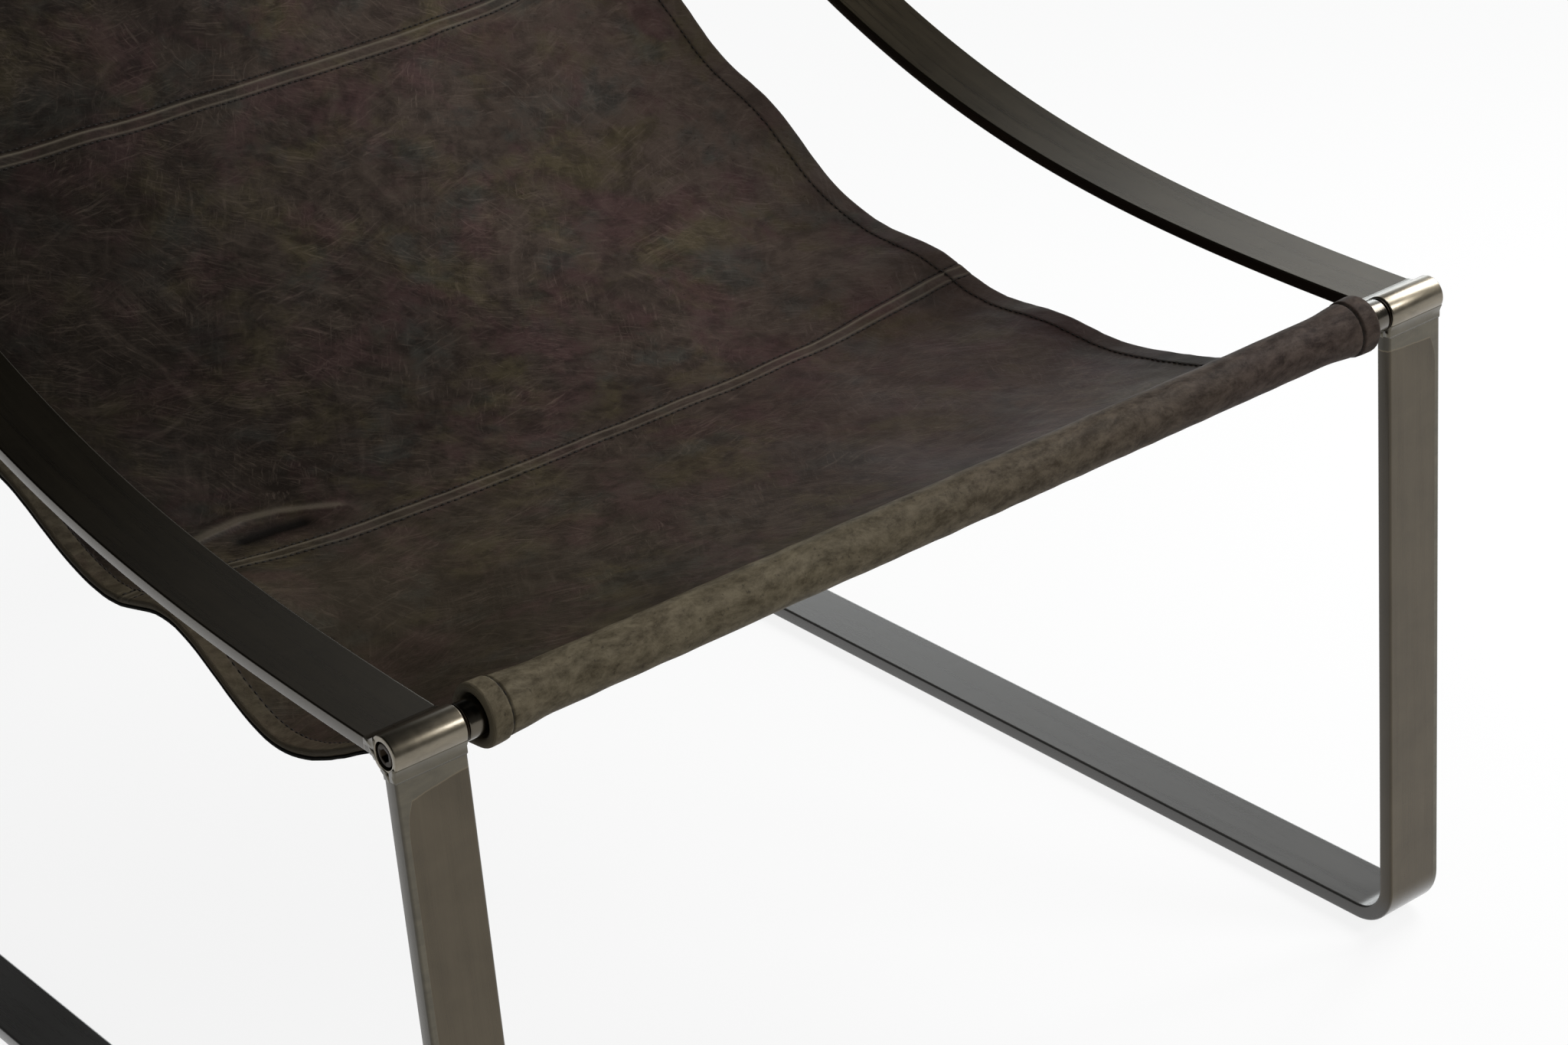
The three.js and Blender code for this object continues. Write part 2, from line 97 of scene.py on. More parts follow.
# Leather sling
SLING_HALF = 0.2935
SLING_OFFSET = -0.003
SLING_DRIFT = 0.016
LEATHER = 0.0028
LINING = 0.0012
LAYER_GAP = 0.0003
LINING_GAP = 0.0005
SLEEVE_SLACK = 0.0012
SLEEVE_REACH = 0.028
SLEEVE_FLARE = 0.0024
SLEEVE_FLARE_REACH = 0.040
SLEEVE_TAIL = 0.012
FRONT_PANEL = 0.300
SEAT_PANEL = 0.345
LOW_SETBACK = 0.266
LOW_DROP = 0.065
FRONT_PULL = 0.084
FRONT_HANDLE = 0.120
SEAT_HANDLE = 0.193
BACK_HANDLE = 0.242
FRONT_DIP = math.radians(32)
TOP_DIP = math.radians(59)
FRONT_LOOP = (262, 45)
TOP_LOOP = (158, -52)
SWELL_RISE = 0.0007
RIPPLE_RISE = 0.00012
PUCKER_RISE = 0.00012
PUCKER_PITCH = 0.021
PUCKER_REACH = 0.045
GROOVE_DEPTH = 0.0005
SLEEVE_BLEND = 0.022
WAVE_REACH = 0.150
EDGE_WAVE_SHARES = (
    (-1, 0.517, 0.203, -0.068),
    (-1, 0.843, 0.163, 0.080),
    (-1, 1.163, 0.200, 0.013),
    (-1, 1.373, 0.190, 0.062),
    (1, 0.730, 0.130, 0.021),
    (1, 1.070, 0.150, 0.038),
    (1, 1.603, 0.160, 0.056),
    (1, 1.977, 0.217, 0.045),
)

# Hems, seams and thread
HEM_WIDTH = 0.0125
HEM_LEFT_WIDTH = 0.0110
HEM_RIGHT_WIDTH = 0.0150
HEM_RISE = 0.0007
HEM_ROUND = 0.0021
SEAM_FRONT = 0.0052
SEAM_BACK = 0.0050
SEAM_RISE = 0.0006
SEAM_STITCH_OUT = 0.0016
SEAM_SHIFT = 0.0035
SEAM_SAG = 0.0060
SEAM_SAG_MIDDLE = 0.03
SEAM_SAG_WIDTH = 0.17
SEAM_WAVE = 0.0009
SEAM_QUIVER = 0.00025
SEAM_LINE = 0.0007
STITCH_PITCH = 0.0043
STITCH_LENGTH = 0.0031
SLEEVE_STITCH = 0.007
THREAD_RADIUS = 0.00042
THREAD_JITTER = 0.00012

# Rise at which a fold's crest is fully pale, from wear and a painted highlight, and depth at which a hollow
# is fully dark with painted shade
FULL_CREST = 0.0018

# Folds in the leather: places along and across the sling, widths to the front and back, and rise
FOLDS = (
    (((0.3285, -0.232), (0.3310, -0.220), (0.3350, -0.196),
      (0.3330, -0.176), (0.3235, -0.155), (0.3195, -0.148)), 0.0020, 0.0085, 0.0020),
    (((0.3215, -0.205), (0.3225, -0.185), (0.3205, -0.168)), 0.0060, 0.0060, -0.0020),
    (((0.357, 0.020), (0.360, 0.075), (0.357, 0.135)), 0.0045, 0.0070, 0.0011),
    (((0.213, -0.080), (0.224, -0.045), (0.231, -0.015)), 0.0040, 0.0065, 0.0010),
    (((0.366, -0.055), (0.364, 0.005)), 0.0060, 0.0060, 0.0008),
    (((0.634, 0.130), (0.621, 0.210)), 0.0050, 0.0070, 0.0014),
)


def smoothstep(value, low, high):
    share = np.clip((value - low) / (high - low), 0, 1)
    return share * share * (3 - 2 * share)


def bump(value, centre, width):
    return np.exp(-(((value - centre) / width) ** 2))


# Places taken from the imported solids
base_low, base_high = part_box("left_base_bar")
rod_low, rod_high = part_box("front_rod")
top_low, top_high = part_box("top_rod")
front_axis = np.array([(rod_low.y + rod_high.y) / 2, (rod_low.z + rod_high.z) / 2])
top_axis = np.array([(top_low.y + top_high.y) / 2, (top_low.z + top_high.z) / 2])
rod_radius = (rod_high.z - rod_low.z) / 2
inner_face = -base_high.x


def mesh_piece(name, points, faces, slot, nodes=(), fields=None):
    """A new piece that rides on the chair, with its faces turned outwards and its fields as attributes."""
    points = np.reshape(points, (-1, 3))
    mesh = bpy.data.meshes.new(name)
    mesh.from_pydata(points.tolist(), [], faces)
    shape = bmesh.new()
    shape.from_mesh(mesh)
    bmesh.ops.recalc_face_normals(shape, faces=shape.faces)
    shape.to_mesh(mesh)
    shape.free()
    mesh.shade_smooth()
    for field, values in (fields or {}).items():
        values = np.ravel(values).astype(np.float32)
        kind, part = ("FLOAT", "value") if len(values) == len(points) else ("FLOAT_VECTOR", "vector")
        mesh.attributes.new(field, kind, "POINT").data.foreach_set(part, values)
    piece = bpy.data.objects.new(name, mesh)
    scene.collection.objects.link(piece)
    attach(piece, "root")
    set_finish(piece, slot)
    if nodes:
        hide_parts(*nodes)
    return piece


def ring_faces(rows, ring):
    """Quads between closed rings that follow one another."""
    i, j = np.meshgrid(np.arange(rows - 1), np.arange(ring), indexing="ij")
    k = (j + 1) % ring
    quads = [i * ring + j, i * ring + k, (i + 1) * ring + k, (i + 1) * ring + j]
    return np.stack(quads, axis=-1).reshape(-1, 4).tolist()


def tube_faces(rows, ring):
    """Quads between closed rings, with both ends closed."""
    faces = ring_faces(rows, ring)
    faces.append(list(range(ring))[::-1])
    faces.append(list(range((rows - 1) * ring, rows * ring)))
    return faces


def unit(angle):
    """Direction of an angle in the side view, or directions of many."""
    return np.stack([np.cos(angle), np.sin(angle)], axis=-1)


def bezier(start, first, second, end, count):
    share = np.linspace(0, 1, count)[:, None]
    left = 1 - share
    return left**3 * start + 3 * left**2 * share * first + 3 * left * share**2 * second + share**3 * end


def lengths_along(points):
    steps = np.hypot(*np.diff(points, axis=0).T)
    return np.concatenate([[0], np.cumsum(steps)])


def normals_along(points):
    ahead = np.gradient(points, axis=0)
    ahead /= np.hypot(*ahead.T)[:, None]
    return np.column_stack([-ahead[:, 1], ahead[:, 0]])


def resampled(points, places):
    along = lengths_along(points)
    return np.column_stack([np.interp(places, along, points[:, k]) for k in range(2)])


# Bars: a rounded flat section swept along a line in the side view
GROUND_REACH = 0.010
LEG_GROUND = 0.0230
LEG_GROUND_SLANT = 0.10
LEG_GROUND_EDGE = 0.5
ARM_GROUND = 0.016
RUNNER_FADE = (0.010, 0.030)
EDGE_TURNS = np.radians([90, 67, 45, 23, 0])
FACE_PLACES = np.concatenate([[-1, -0.985], np.linspace(-0.94, 0.94, 15), [0.985, 1]])


def bar_section(thickness, edge):
    """Points round a flat bar's section, across and outwards, with rounded edges."""
    reach = BAR_WIDTH / 2 - edge
    rise = thickness / 2 - edge
    section = [(share * reach, thickness / 2) for share in FACE_PLACES]
    corner = list(edge * unit(EDGE_TURNS))
    section += [(reach + c, rise + s) for c, s in corner[1:]]
    section += [(reach + c, -rise - s) for c, s in corner[::-1][:-1]]
    return np.concatenate([section, -np.array(section)])


def bar_piece(name, line, centre_x, node, joints, thickness, edge):
    """A bar along a line, with its grain and its depth in the ground patches by the joints."""
    section = bar_section(thickness, edge)
    along = lengths_along(line)
    out = normals_along(line)
    rows, ring = len(line), len(section)
    across, rise = (np.tile(part, (rows, 1)) for part in section.T)
    length = np.tile(along[:, None], (1, ring))
    y, z = (line[:, None, k] + out[:, None, k] * rise for k in range(2))
    points = np.stack([centre_x + across, y, z], axis=-1)
    ground = np.full((rows, ring), -GROUND_REACH)
    for joint, border in joints:
        distance = np.hypot(y - joint[0], z - joint[1])
        ground = np.maximum(ground, np.clip(border(across) - distance, -GROUND_REACH, GROUND_REACH))
    grain = np.stack([across + rise, length, rise], axis=-1)
    # Mask of the bars' side faces, which the bar material darkens with painted shade
    side_face_shade = np.clip((np.abs(across) - BAR_WIDTH / 2 + edge) / edge, 0, 1)
    # Mask of the runner near the floor, which carries a painted reflection and a lower metallic in the bar
    # material
    low = 1 - smoothstep(z, *RUNNER_FADE)
    fields = {"grain": grain, "ground": ground, "side_face_shade": side_face_shade, "low": low}
    mesh_piece(name, points, tube_faces(rows, ring), "bar_metal", [node], fields)


def arc_line(centre, radius, start, end, count):
    return centre + radius * unit(np.radians(np.linspace(start, end, count)))


def straight(start, end, step=0.006):
    count = max(2, round(float(np.hypot(*np.subtract(end, start))) / step))
    return np.linspace(start, end, count)


def metal_fields(grain, ground=-GROUND_REACH):
    """A metal piece's grain, and how deep all of it lies inside the ground patches."""
    return {"grain": grain, "ground": np.full(len(grain), ground)}


# Distance from a barrel's middle at which a bar ends, inside the barrel's wall
COPE = 0.0080
BEND_MIDDLE = BEND_RADIUS - BAR_THICKNESS / 2
leg_y = base_low.y + BAR_THICKNESS / 2
upright_y = base_high.y - BAR_THICKNESS / 2
runner_z = base_low.z + BAR_THICKNESS / 2
front_bend = np.array([base_low.y + BEND_RADIUS, base_low.z + BEND_RADIUS])
rear_bend = np.array([base_high.y - BEND_RADIUS, base_low.z + BEND_RADIUS])


def base_line():
    """Down the front leg, along the runner and up the rear upright."""
    parts = [
        straight((leg_y, front_axis[1] - COPE), (leg_y, front_bend[1] + 0.001), 0.0045),
        arc_line(front_bend, BEND_MIDDLE, 180, 270, 17),
        straight((front_bend[0] + 0.001, runner_z), (rear_bend[0] - 0.001, runner_z), 0.012),
        arc_line(rear_bend, BEND_MIDDLE, -90, 0, 17),
        straight((upright_y, rear_bend[1] + 0.001), (upright_y, top_axis[1] - COPE), 0.006),
    ]
    return np.concatenate(parts)[::-1]


def arm_line():
    first = front_axis + np.array(ARM_FRONT_HANDLE)
    second = top_axis - np.array(ARM_TOP_HANDLE)
    curve = bezier(front_axis, first, second, top_axis, 400)
    along = lengths_along(curve)
    places = np.concatenate([np.arange(COPE, 0.06, 0.0045), np.arange(0.06, along[-1] - COPE, 0.008)])
    return resampled(curve, np.append(places, along[-1] - COPE))


def leg_border(outside):
    """Reach of the ground patch under a barrel, which runs further down the outer edge."""
    strip = smoothstep(outside, BAR_WIDTH / 2 - 0.0052, BAR_WIDTH / 2 - 0.0024)
    return LEG_GROUND + LEG_GROUND_SLANT * outside + LEG_GROUND_EDGE * strip


def arm_border(across):
    return np.full_like(across, ARM_GROUND)


for side, prefix in SIDES:
    centre_x = side * (inner_face + BAR_WIDTH / 2)
    def border(across, side=side):
        return leg_border(side * across)

    bar_piece(f"{prefix}_base", base_line(), centre_x, f"{prefix}_base_bar",
              [(front_axis, border), (top_axis, border)], BAR_THICKNESS, BAR_EDGE)
    bar_piece(f"{prefix}_arm", arm_line(), centre_x, f"{prefix}_arm_bar",
              [(front_axis, arm_border), (top_axis, arm_border)], ARM_THICKNESS, ARM_EDGE)


# Welds: concave fillets between a barrel and the bars that meet it
WELD_ROOT = 0.0080
WELD_EDGE = 0.0006
WELD_STEPS = 9
WELD_PROUD = 0.00004
WELD_RADIUS = 0.018
ARM_WELD_RADIUS = 0.014
FRONT_INNER_WELD = 0.005
TOP_INNER_WELD = 0.004


def fillet(axis, point, normal, heading, radius, thickness):
    """Outline of a fillet from the barrel to a bar's face through point, closed along the bar's middle."""
    axis, point, normal, heading = (np.asarray(v, dtype=float) for v in (axis, point, normal, heading))
    height = float(np.dot(axis - point, normal))
    reach = math.sqrt((BARREL_RADIUS + radius) ** 2 - (radius - height) ** 2)
    centre = axis + normal * (radius - height) + heading * reach
    touch = axis + (centre - axis) * BARREL_RADIUS / (BARREL_RADIUS + radius)
    foot = centre - normal * radius
    first = math.atan2(*(touch - centre)[::-1])
    last = math.atan2(*(foot - centre)[::-1])
    turn = (last - first + math.pi) % (2 * math.pi) - math.pi
    turns = first + turn * np.linspace(0, 1, WELD_STEPS)
    arc = centre + radius * unit(turns)
    middle = foot - normal * thickness / 2
    root = axis + heading * WELD_ROOT + normal * float(np.dot(middle - axis, normal))
    inner_touch = axis + (touch - axis) * WELD_ROOT / BARREL_RADIUS
    return np.vstack([arc, middle, root, inner_touch])


def weld_piece(name, outlines, centre_x):
    """Fillets run across the bar, flush with its sides, with their open edges rounded a little."""
    points, faces = [], []
    reach = BAR_WIDTH / 2 + WELD_PROUD
    stations = [(-reach, 1.0), (-reach + WELD_EDGE * 0.4, 0.35), (-reach + WELD_EDGE, 0.0)]
    stations += [(share * reach, 0.0) for share in (-0.6, -0.2, 0.2, 0.6)]
    stations += [(-place, sink) for place, sink in stations[:3][::-1]]
    for outline in outlines:
        middle = outline.mean(axis=0)
        inward = middle - outline
        inward /= np.hypot(*inward.T)[:, None]
        inward[WELD_STEPS:] = 0
        first, ring = len(points), len(outline)
        for place, sink in stations:
            shape = outline + inward * sink * WELD_EDGE
            points += [(centre_x + place, y, z) for y, z in shape]
        faces += [[first + k for k in face] for face in tube_faces(len(stations), ring)]
    points = np.array(points)
    grain = np.column_stack([points[:, 0] - centre_x, points[:, 2], points[:, 1]])
    mesh_piece(name, points, faces, "bar_metal", (), metal_fields(grain, GROUND_REACH))


def bar_fillets(axis, face, out, heading, outer, inner, thickness):
    """The fillets on both faces of a bar that leaves its barrel along heading."""
    face, out = np.array(face), np.array(out)
    return [fillet(axis, face, out, heading, outer, thickness),
            fillet(axis, face - out * thickness, -out, heading, inner, thickness)]


def joint_fillets(axis, face_y, out, handle, ahead, inner):
    """The fillets on the upright bar, whose outer face is at face_y, and on the arm at one barrel."""
    angle = math.atan2(handle[1], handle[0])
    up = unit(angle + math.pi / 2)
    arm_face = axis + up * ARM_THICKNESS / 2
    return (bar_fillets(axis, (face_y, 0.0), (out, 0.0), (0, -1), WELD_RADIUS, inner, BAR_THICKNESS)
            + bar_fillets(axis, arm_face, up, unit(angle) * ahead, ARM_WELD_RADIUS, inner, ARM_THICKNESS))


for side, prefix in SIDES:
    centre_x = side * (inner_face + BAR_WIDTH / 2)
    front = joint_fillets(front_axis, base_low.y, -1.0, ARM_FRONT_HANDLE, 1, FRONT_INNER_WELD)
    weld_piece(f"{prefix}_front_weld", front, centre_x)
    top = joint_fillets(top_axis, base_high.y, 1.0, ARM_TOP_HANDLE, -1, TOP_INNER_WELD)
    weld_piece(f"{prefix}_top_weld", top, centre_x)


# Turned pieces along X
GRAIN_TURN = 0.06
HEAD_SIDES = 48
SMALL_EDGE = 0.0003


def turned_rings(profile, sides):
    """Rings of points for a profile of radius and place along the axis."""
    around = unit(np.linspace(0, 2 * math.pi, sides, endpoint=False)).T
    return np.concatenate([np.column_stack([np.full(sides, place), *(radius * around)])
                           for radius, place in profile])


def turned_piece(name, profile, place, side, slot, node, sides=72, ground=-GROUND_REACH):
    """A ring or a solid turned piece, whose profile runs outwards on either side."""
    rows = len(profile)
    points = turned_rings(profile, sides)
    if profile[0] != profile[-1]:
        faces = tube_faces(rows, sides)
    else:
        count = (rows - 1) * sides
        points = points[:count]
        faces = [[k % count for k in face] for face in ring_faces(rows, sides)]
    points = points * [side, 1, 1] + np.array(place)
    turns = np.tile(np.linspace(0, 1, sides, endpoint=False), len(points) // sides)
    grain = np.column_stack([points[:, 0], turns * GRAIN_TURN, np.zeros(len(points))])
    mesh_piece(name, points, faces, slot, [node], metal_fields(grain, ground))


def lip(radius, place, size, inner, ahead):
    """A rounded edge from a side of that radius to an end face at that place."""
    turns = np.radians([0, 22, 45, 68, 90])
    if ahead < 0:
        turns = turns[::-1]
    sign = -1 if inner else 1
    steps = [(sign * size * (1 - math.cos(t)), ahead * size * (math.sin(t) - 1)) for t in turns]
    return [(radius - inwards, place + along) for inwards, along in steps]


def barrel_profile():
    floor = BAR_WIDTH - RECESS_DEPTH
    ring = lip(BARREL_RADIUS, 0, BARREL_LIP, False, -1)
    ring += lip(BARREL_RADIUS, BAR_WIDTH, BARREL_LIP, False, 1)
    ring += lip(RECESS_RADIUS, BAR_WIDTH, RECESS_LIP, True, 1)[::-1]
    ring += [(RECESS_RADIUS, floor + 0.0002), (RECESS_RADIUS - 0.0002, floor)]
    ring += [(BORE_RADIUS, floor), (BORE_RADIUS, 0)]
    return ring + [ring[0]]


def screw_head(radius, height, key_depth, crown):
    """A screw's head along X with a six-sided key hole, as points and faces."""
    turns = np.linspace(0, 2 * math.pi, HEAD_SIDES, endpoint=False)
    hexagon = (KEY_SIZE / 2) / np.cos((turns + math.pi / 6) % (math.pi / 3) - math.pi / 6)
    steps = [(radius, 0), (radius, height - crown), (radius - crown * 0.3, height - crown * 0.3),
             (radius - crown, height), (hexagon + SMALL_EDGE, height), (hexagon, height - SMALL_EDGE),
             (hexagon, height - key_depth), (hexagon * 0.2, height - key_depth - 0.0004)]
    return turned_rings(steps, HEAD_SIDES), tube_faces(len(steps), HEAD_SIDES)


for axis, level in ((front_axis, "front"), (top_axis, "top")):
    for side, prefix in SIDES:
        place = (side * inner_face, axis[0], axis[1])
        turned_piece(f"{prefix}_{level}_tube", barrel_profile(), place, side, "polished_metal",
                     f"{prefix}_{level}_barrel", ground=GROUND_REACH)
        points, faces = screw_head(HEAD_RADIUS, HEAD_HEIGHT, KEY_DEPTH, HEAD_CROWN)
        points = (points + [BAR_WIDTH - RECESS_DEPTH + LAYER_GAP, 0, 0]) * [side, 1, 1] + np.array(place)
        mesh_piece(f"{prefix}_{level}_cap_screw", points, faces, "fastener",
                   [f"{prefix}_{level}_bolt"], metal_fields(points))
        spacer_low, spacer_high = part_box(f"{prefix}_{level}_spacer")
        thick = spacer_high.x - spacer_low.x
        radius = (spacer_high.z - spacer_low.z) / 2
        ring = [(BORE_RADIUS, 0), (radius - SMALL_EDGE, 0), (radius, SMALL_EDGE),
                (radius, thick - SMALL_EDGE), (radius - SMALL_EDGE, thick),
                (BORE_RADIUS, thick), (BORE_RADIUS, 0)]
        spacer_x = spacer_low.x if side > 0 else spacer_high.x
        turned_piece(f"{prefix}_{level}_washer", ring, (spacer_x, axis[0], axis[1]), side, "fastener",
                     f"{prefix}_{level}_spacer")

for axis, half, node in ((front_axis, rod_high.x, "front_rod"), (top_axis, top_high.x, "top_rod")):
    ends = [(rod_radius - ROD_CHAMFER, -half), (rod_radius - ROD_CHAMFER * 0.3, -half + ROD_CHAMFER * 0.3),
            (rod_radius, ROD_CHAMFER - half)]
    profile = ends + [(rod_radius, place) for place in np.linspace(-half + 0.02, half - 0.02, 15)]
    profile += [(r, -p) for r, p in ends[::-1]]
    turned_piece(f"{node}_bar", profile, (0, axis[0], axis[1]), 1, "rod_metal", node, sides=96)


# The sling's middle line in the side view
def ahead_of(normal):
    return np.array([normal[1], -normal[0]])


def bridge(point, normal, target, target_normal, count=14):
    reach = 0.35 * float(np.hypot(*(target - point)))
    first = point + ahead_of(normal) * reach
    second = target - ahead_of(target_normal) * reach
    return bezier(point, first, second, target, count)[1:-1]


def loop_points(axis, ends):
    radius = rod_radius + SLEEVE_SLACK + LEATHER / 2
    normals = unit(np.radians(np.linspace(*ends, 60)))
    return axis + radius * normals, normals


def sling_line():
    """Points of the leather's middle layer from the front tail over both sleeves to the top tail."""
    dip = unit(-FRONT_DIP)
    climb = unit(TOP_DIP)
    start = front_axis + SLEEVE_REACH * dip
    end = top_axis - SLEEVE_REACH * climb
    low = front_axis + np.array([LOW_SETBACK, -LOW_DROP])
    flat = np.array([1.0, 0.0])
    main = np.concatenate([
        bezier(start, start + dip * FRONT_PULL, low - flat * FRONT_HANDLE, low, 300),
        bezier(low, low + flat * SEAT_HANDLE, end - climb * BACK_HANDLE, end, 600)[1:],
    ])
    length = lengths_along(main)[-1]
    main = resampled(main, np.linspace(0, length, 950))
    up = normals_along(main)
    along = np.linspace(0, length, len(main))
    drop = LEATHER + LAYER_GAP
    tail = along <= SLEEVE_TAIL
    front_tail = (main - up * drop)[tail][::-1]
    top_tail = (main - up * drop)[::-1][tail]
    front_loop, front_out = loop_points(front_axis, FRONT_LOOP)
    top_loop, top_out = loop_points(top_axis, TOP_LOOP)
    parts = [
        front_tail,
        bridge(front_tail[-1], -up[0], front_loop[0], front_out[0]),
        front_loop,
        bridge(front_loop[-1], front_out[-1], main[0], up[0]),
        main,
        bridge(main[-1], up[-1], top_loop[0], top_out[0]),
        top_loop,
        bridge(top_loop[-1], top_out[-1], top_tail[0], -up[-1]),
        top_tail,
    ]
    before = lengths_along(np.concatenate(parts[:5]))[len(np.concatenate(parts[:4]))]
    points = np.concatenate(parts)
    total = lengths_along(points)[-1]
    step = 0.001
    fine = resampled(points, np.arange(0, total + step / 2, step))
    kernel = bump(np.arange(-6, 7), 0, 2.4)
    kernel /= kernel.sum()
    for axis in range(2):
        padded = np.pad(fine[:, axis], 6, mode="reflect", reflect_type="odd")
        fine[:, axis] = np.convolve(padded, kernel, mode="valid")
    return fine, np.arange(len(fine)) * step - before, length


line_points, line_places, SLING_LENGTH = sling_line()
line_normals = normals_along(line_points)
FIRST_PLACE, LAST_PLACE = line_places[0], line_places[-1]
SEAMS = (FRONT_PANEL, FRONT_PANEL + SEAT_PANEL)


def sleeve_share(place):
    """One on the sleeves, none on the seat and back."""
    inside = smoothstep(-place, 0.0, SLEEVE_BLEND) + smoothstep(place - SLING_LENGTH, 0.0, SLEEVE_BLEND)
    return np.clip(inside, 0, 1)


def edge_distance(across):
    return SLING_HALF - np.abs(across)


def edge_wave(place, across):
    edge_share = 1 - smoothstep(edge_distance(across), 0, WAVE_REACH)
    rise = np.zeros_like(place)
    for side, centre, spread, height in EDGE_WAVE_SHARES:
        rise += np.where(side * across > 0, height * bump(place / FRONT_PANEL, centre, spread), 0)
    return rise * edge_share * FRONT_PANEL


def random_waves(count, shortest, longest):
    """Waves of random heading, phase and length, as heading, phase and rate."""
    full = 2 * math.pi
    return [(rng.uniform(0, full), rng.uniform(0, full), 1 / rng.uniform(shortest, longest))
            for _ in range(count)]


SWELLS = random_waves(14, 0.05, 0.22)
RIPPLES = random_waves(12, 0.016, 0.04)


def waves_of(table, place, across):
    total = np.zeros_like(place)
    for heading, phase, rate in table:
        ahead = place * math.cos(heading) + across * math.sin(heading)
        total += np.sin(2 * math.pi * rate * ahead + phase)
    return total / math.sqrt(len(table))


def sag(place, across):
    """Slow unevenness of the whole sheet, kept off the sleeves."""
    near_edge = bump(edge_distance(across), 0, PUCKER_REACH)
    swells = waves_of(SWELLS, place, across)
    puckers = PUCKER_RISE * near_edge * np.sin(2 * math.pi * place / PUCKER_PITCH + 5 * swells)
    return (1 - sleeve_share(place)) * (SWELL_RISE * swells + puckers)


def fold_rise(place, across):
    total = np.zeros_like(place)
    for route, front_width, back_width, rise in FOLDS:
        best = np.full_like(place, 1e9)
        width = np.full_like(place, front_width)
        for (s0, x0), (s1, x1) in zip(route[:-1], route[1:]):
            ds, dx = s1 - s0, x1 - x0
            share = np.clip(((place - s0) * ds + (across - x0) * dx) / (ds * ds + dx * dx), 0, 1)
            away = np.hypot(place - s0 - share * ds, across - x0 - share * dx)
            behind = (place - s0) * dx > (across - x0) * ds
            width = np.where(away < best, np.where(behind, back_width, front_width), width)
            best = np.minimum(best, away)
        total += rise * bump(best, 0, width)
    return total


def hem_width(place, across):
    """Width of the sewn hem: narrower at the left and wider at the right, and even on the sleeves."""
    side = np.where(across < 0, HEM_LEFT_WIDTH, HEM_RIGHT_WIDTH)
    return side + (HEM_WIDTH - side) * sleeve_share(place)


def seam_wander(across):
    """How far a seam strays from its straight line."""
    dip = SEAM_SHIFT + SEAM_SAG * bump(across, SEAM_SAG_MIDDLE, SEAM_SAG_WIDTH)
    return SEAM_WAVE * np.sin(across / 0.037 + 1.1) + SEAM_QUIVER * np.sin(across / 0.0105 + 0.4) - dip


def seam_shape(place, across):
    """The lapped seams' rise, their stitched grooves, which also carry painted shade, and where their
    ridges are worn pale and painted with a highlight.
    """
    rise, groove_and_shade, rubbed = (np.zeros_like(place) for _ in range(3))
    inside = 0.25 + 0.75 * smoothstep(edge_distance(across), 0.004, 0.014)
    for seam in SEAMS:
        off = place - seam - seam_wander(across)
        band = smoothstep(off, -SEAM_FRONT - 0.0012, -SEAM_FRONT + 0.0004)
        band = band * (1 - smoothstep(off, SEAM_BACK - 0.0004, SEAM_BACK + 0.0006))
        ridge = bump(off, SEAM_BACK - 0.0020, SEAM_LINE)
        brink = bump(off, -SEAM_FRONT + 0.0016, SEAM_LINE)
        rise += (band * SEAM_RISE + 0.0004 * ridge + 0.0003 * brink) * inside
        # Seam ridges and lips: worn pale and painted with a highlight
        rubbed += ridge + 0.05 * band + 0.6 * brink
        groove_and_shade += 0.8 * bump(off, -SEAM_FRONT, 0.0006)
        groove_and_shade += 0.8 * bump(off, SEAM_BACK + SEAM_STITCH_OUT, SEAM_LINE)
    return rise, np.clip(groove_and_shade, 0, 1), np.clip(rubbed, 0, 1)


def hem_shape(place, across):
    from_edge = edge_distance(across)
    width = hem_width(place, across)
    rise = HEM_RISE * (1 - smoothstep(from_edge, width - 0.0006, width + 0.0014))
    return rise, bump(from_edge, width, SEAM_LINE)


def top_height(place, across):
    """The finished face's height over the leather's middle layer."""
    seam, seam_groove, _ = seam_shape(place, across)
    hem, hem_groove = hem_shape(place, across)
    ripple = RIPPLE_RISE * waves_of(RIPPLES, place, across)
    pinch = 0.7 + 2.0 * sleeve_share(place)
    grooves = GROOVE_DEPTH * np.maximum(seam_groove, hem_groove * pinch)
    return LEATHER / 2 + seam + hem - grooves + fold_rise(place, across) + ripple


def under_height(place, across):
    rolled = 0.0004 + 0.0012 * sleeve_share(place)
    return -LEATHER / 2 - rolled * (1 - smoothstep(edge_distance(across), HEM_WIDTH - 0.003, HEM_WIDTH))


def flare(place, across):
    near_edge = 1 - smoothstep(edge_distance(across), 0, SLEEVE_FLARE_REACH)
    return SLEEVE_FLARE * near_edge * sleeve_share(place)


def sheet_point(place, across, height, sideways=0):
    """Points of the hung sheet at a place along and across it, lifted along its normal."""
    place, across, height = np.broadcast_arrays(np.asarray(place, float), across, height)
    y, z, out_y, out_z = (np.interp(place, line_places, part)
                          for part in (*line_points.T, *line_normals.T))
    run = np.clip(place, 0, SLING_LENGTH)
    lift = height + flare(place, across) + sag(place, across)
    drift = SLING_OFFSET - SLING_DRIFT * np.sin(math.pi * run / SLING_LENGTH)
    x = across + drift + sideways
    return np.stack([x, y + out_y * lift, z + out_z * lift + edge_wave(run, across)], axis=-1)


# The sling's mesh: its steps, and how far it is finer from the edges, on the sleeves and round the seams
SHEET_STEP = 0.005
FINE_STEP = 0.0006
SLEEVE_STEP = 0.0022
FINE_EDGE = 0.024
SLEEVE_ZONE = 0.03
SEAM_ZONE = (-0.019, 0.009)

# Finer rows and columns round the folds, as start, end and step
FOLD_ROWS = ((0.315, 0.345, 0.0007), (0.345, 0.37, 0.0025))
FOLD_COLUMNS = (-0.24, -0.10, 0.0018)


def spaced(*stretches):
    """Sorted places from stretches of start, end and step."""
    return np.unique(np.round(np.concatenate([np.arange(a, b, step) for a, b, step in stretches]), 6))


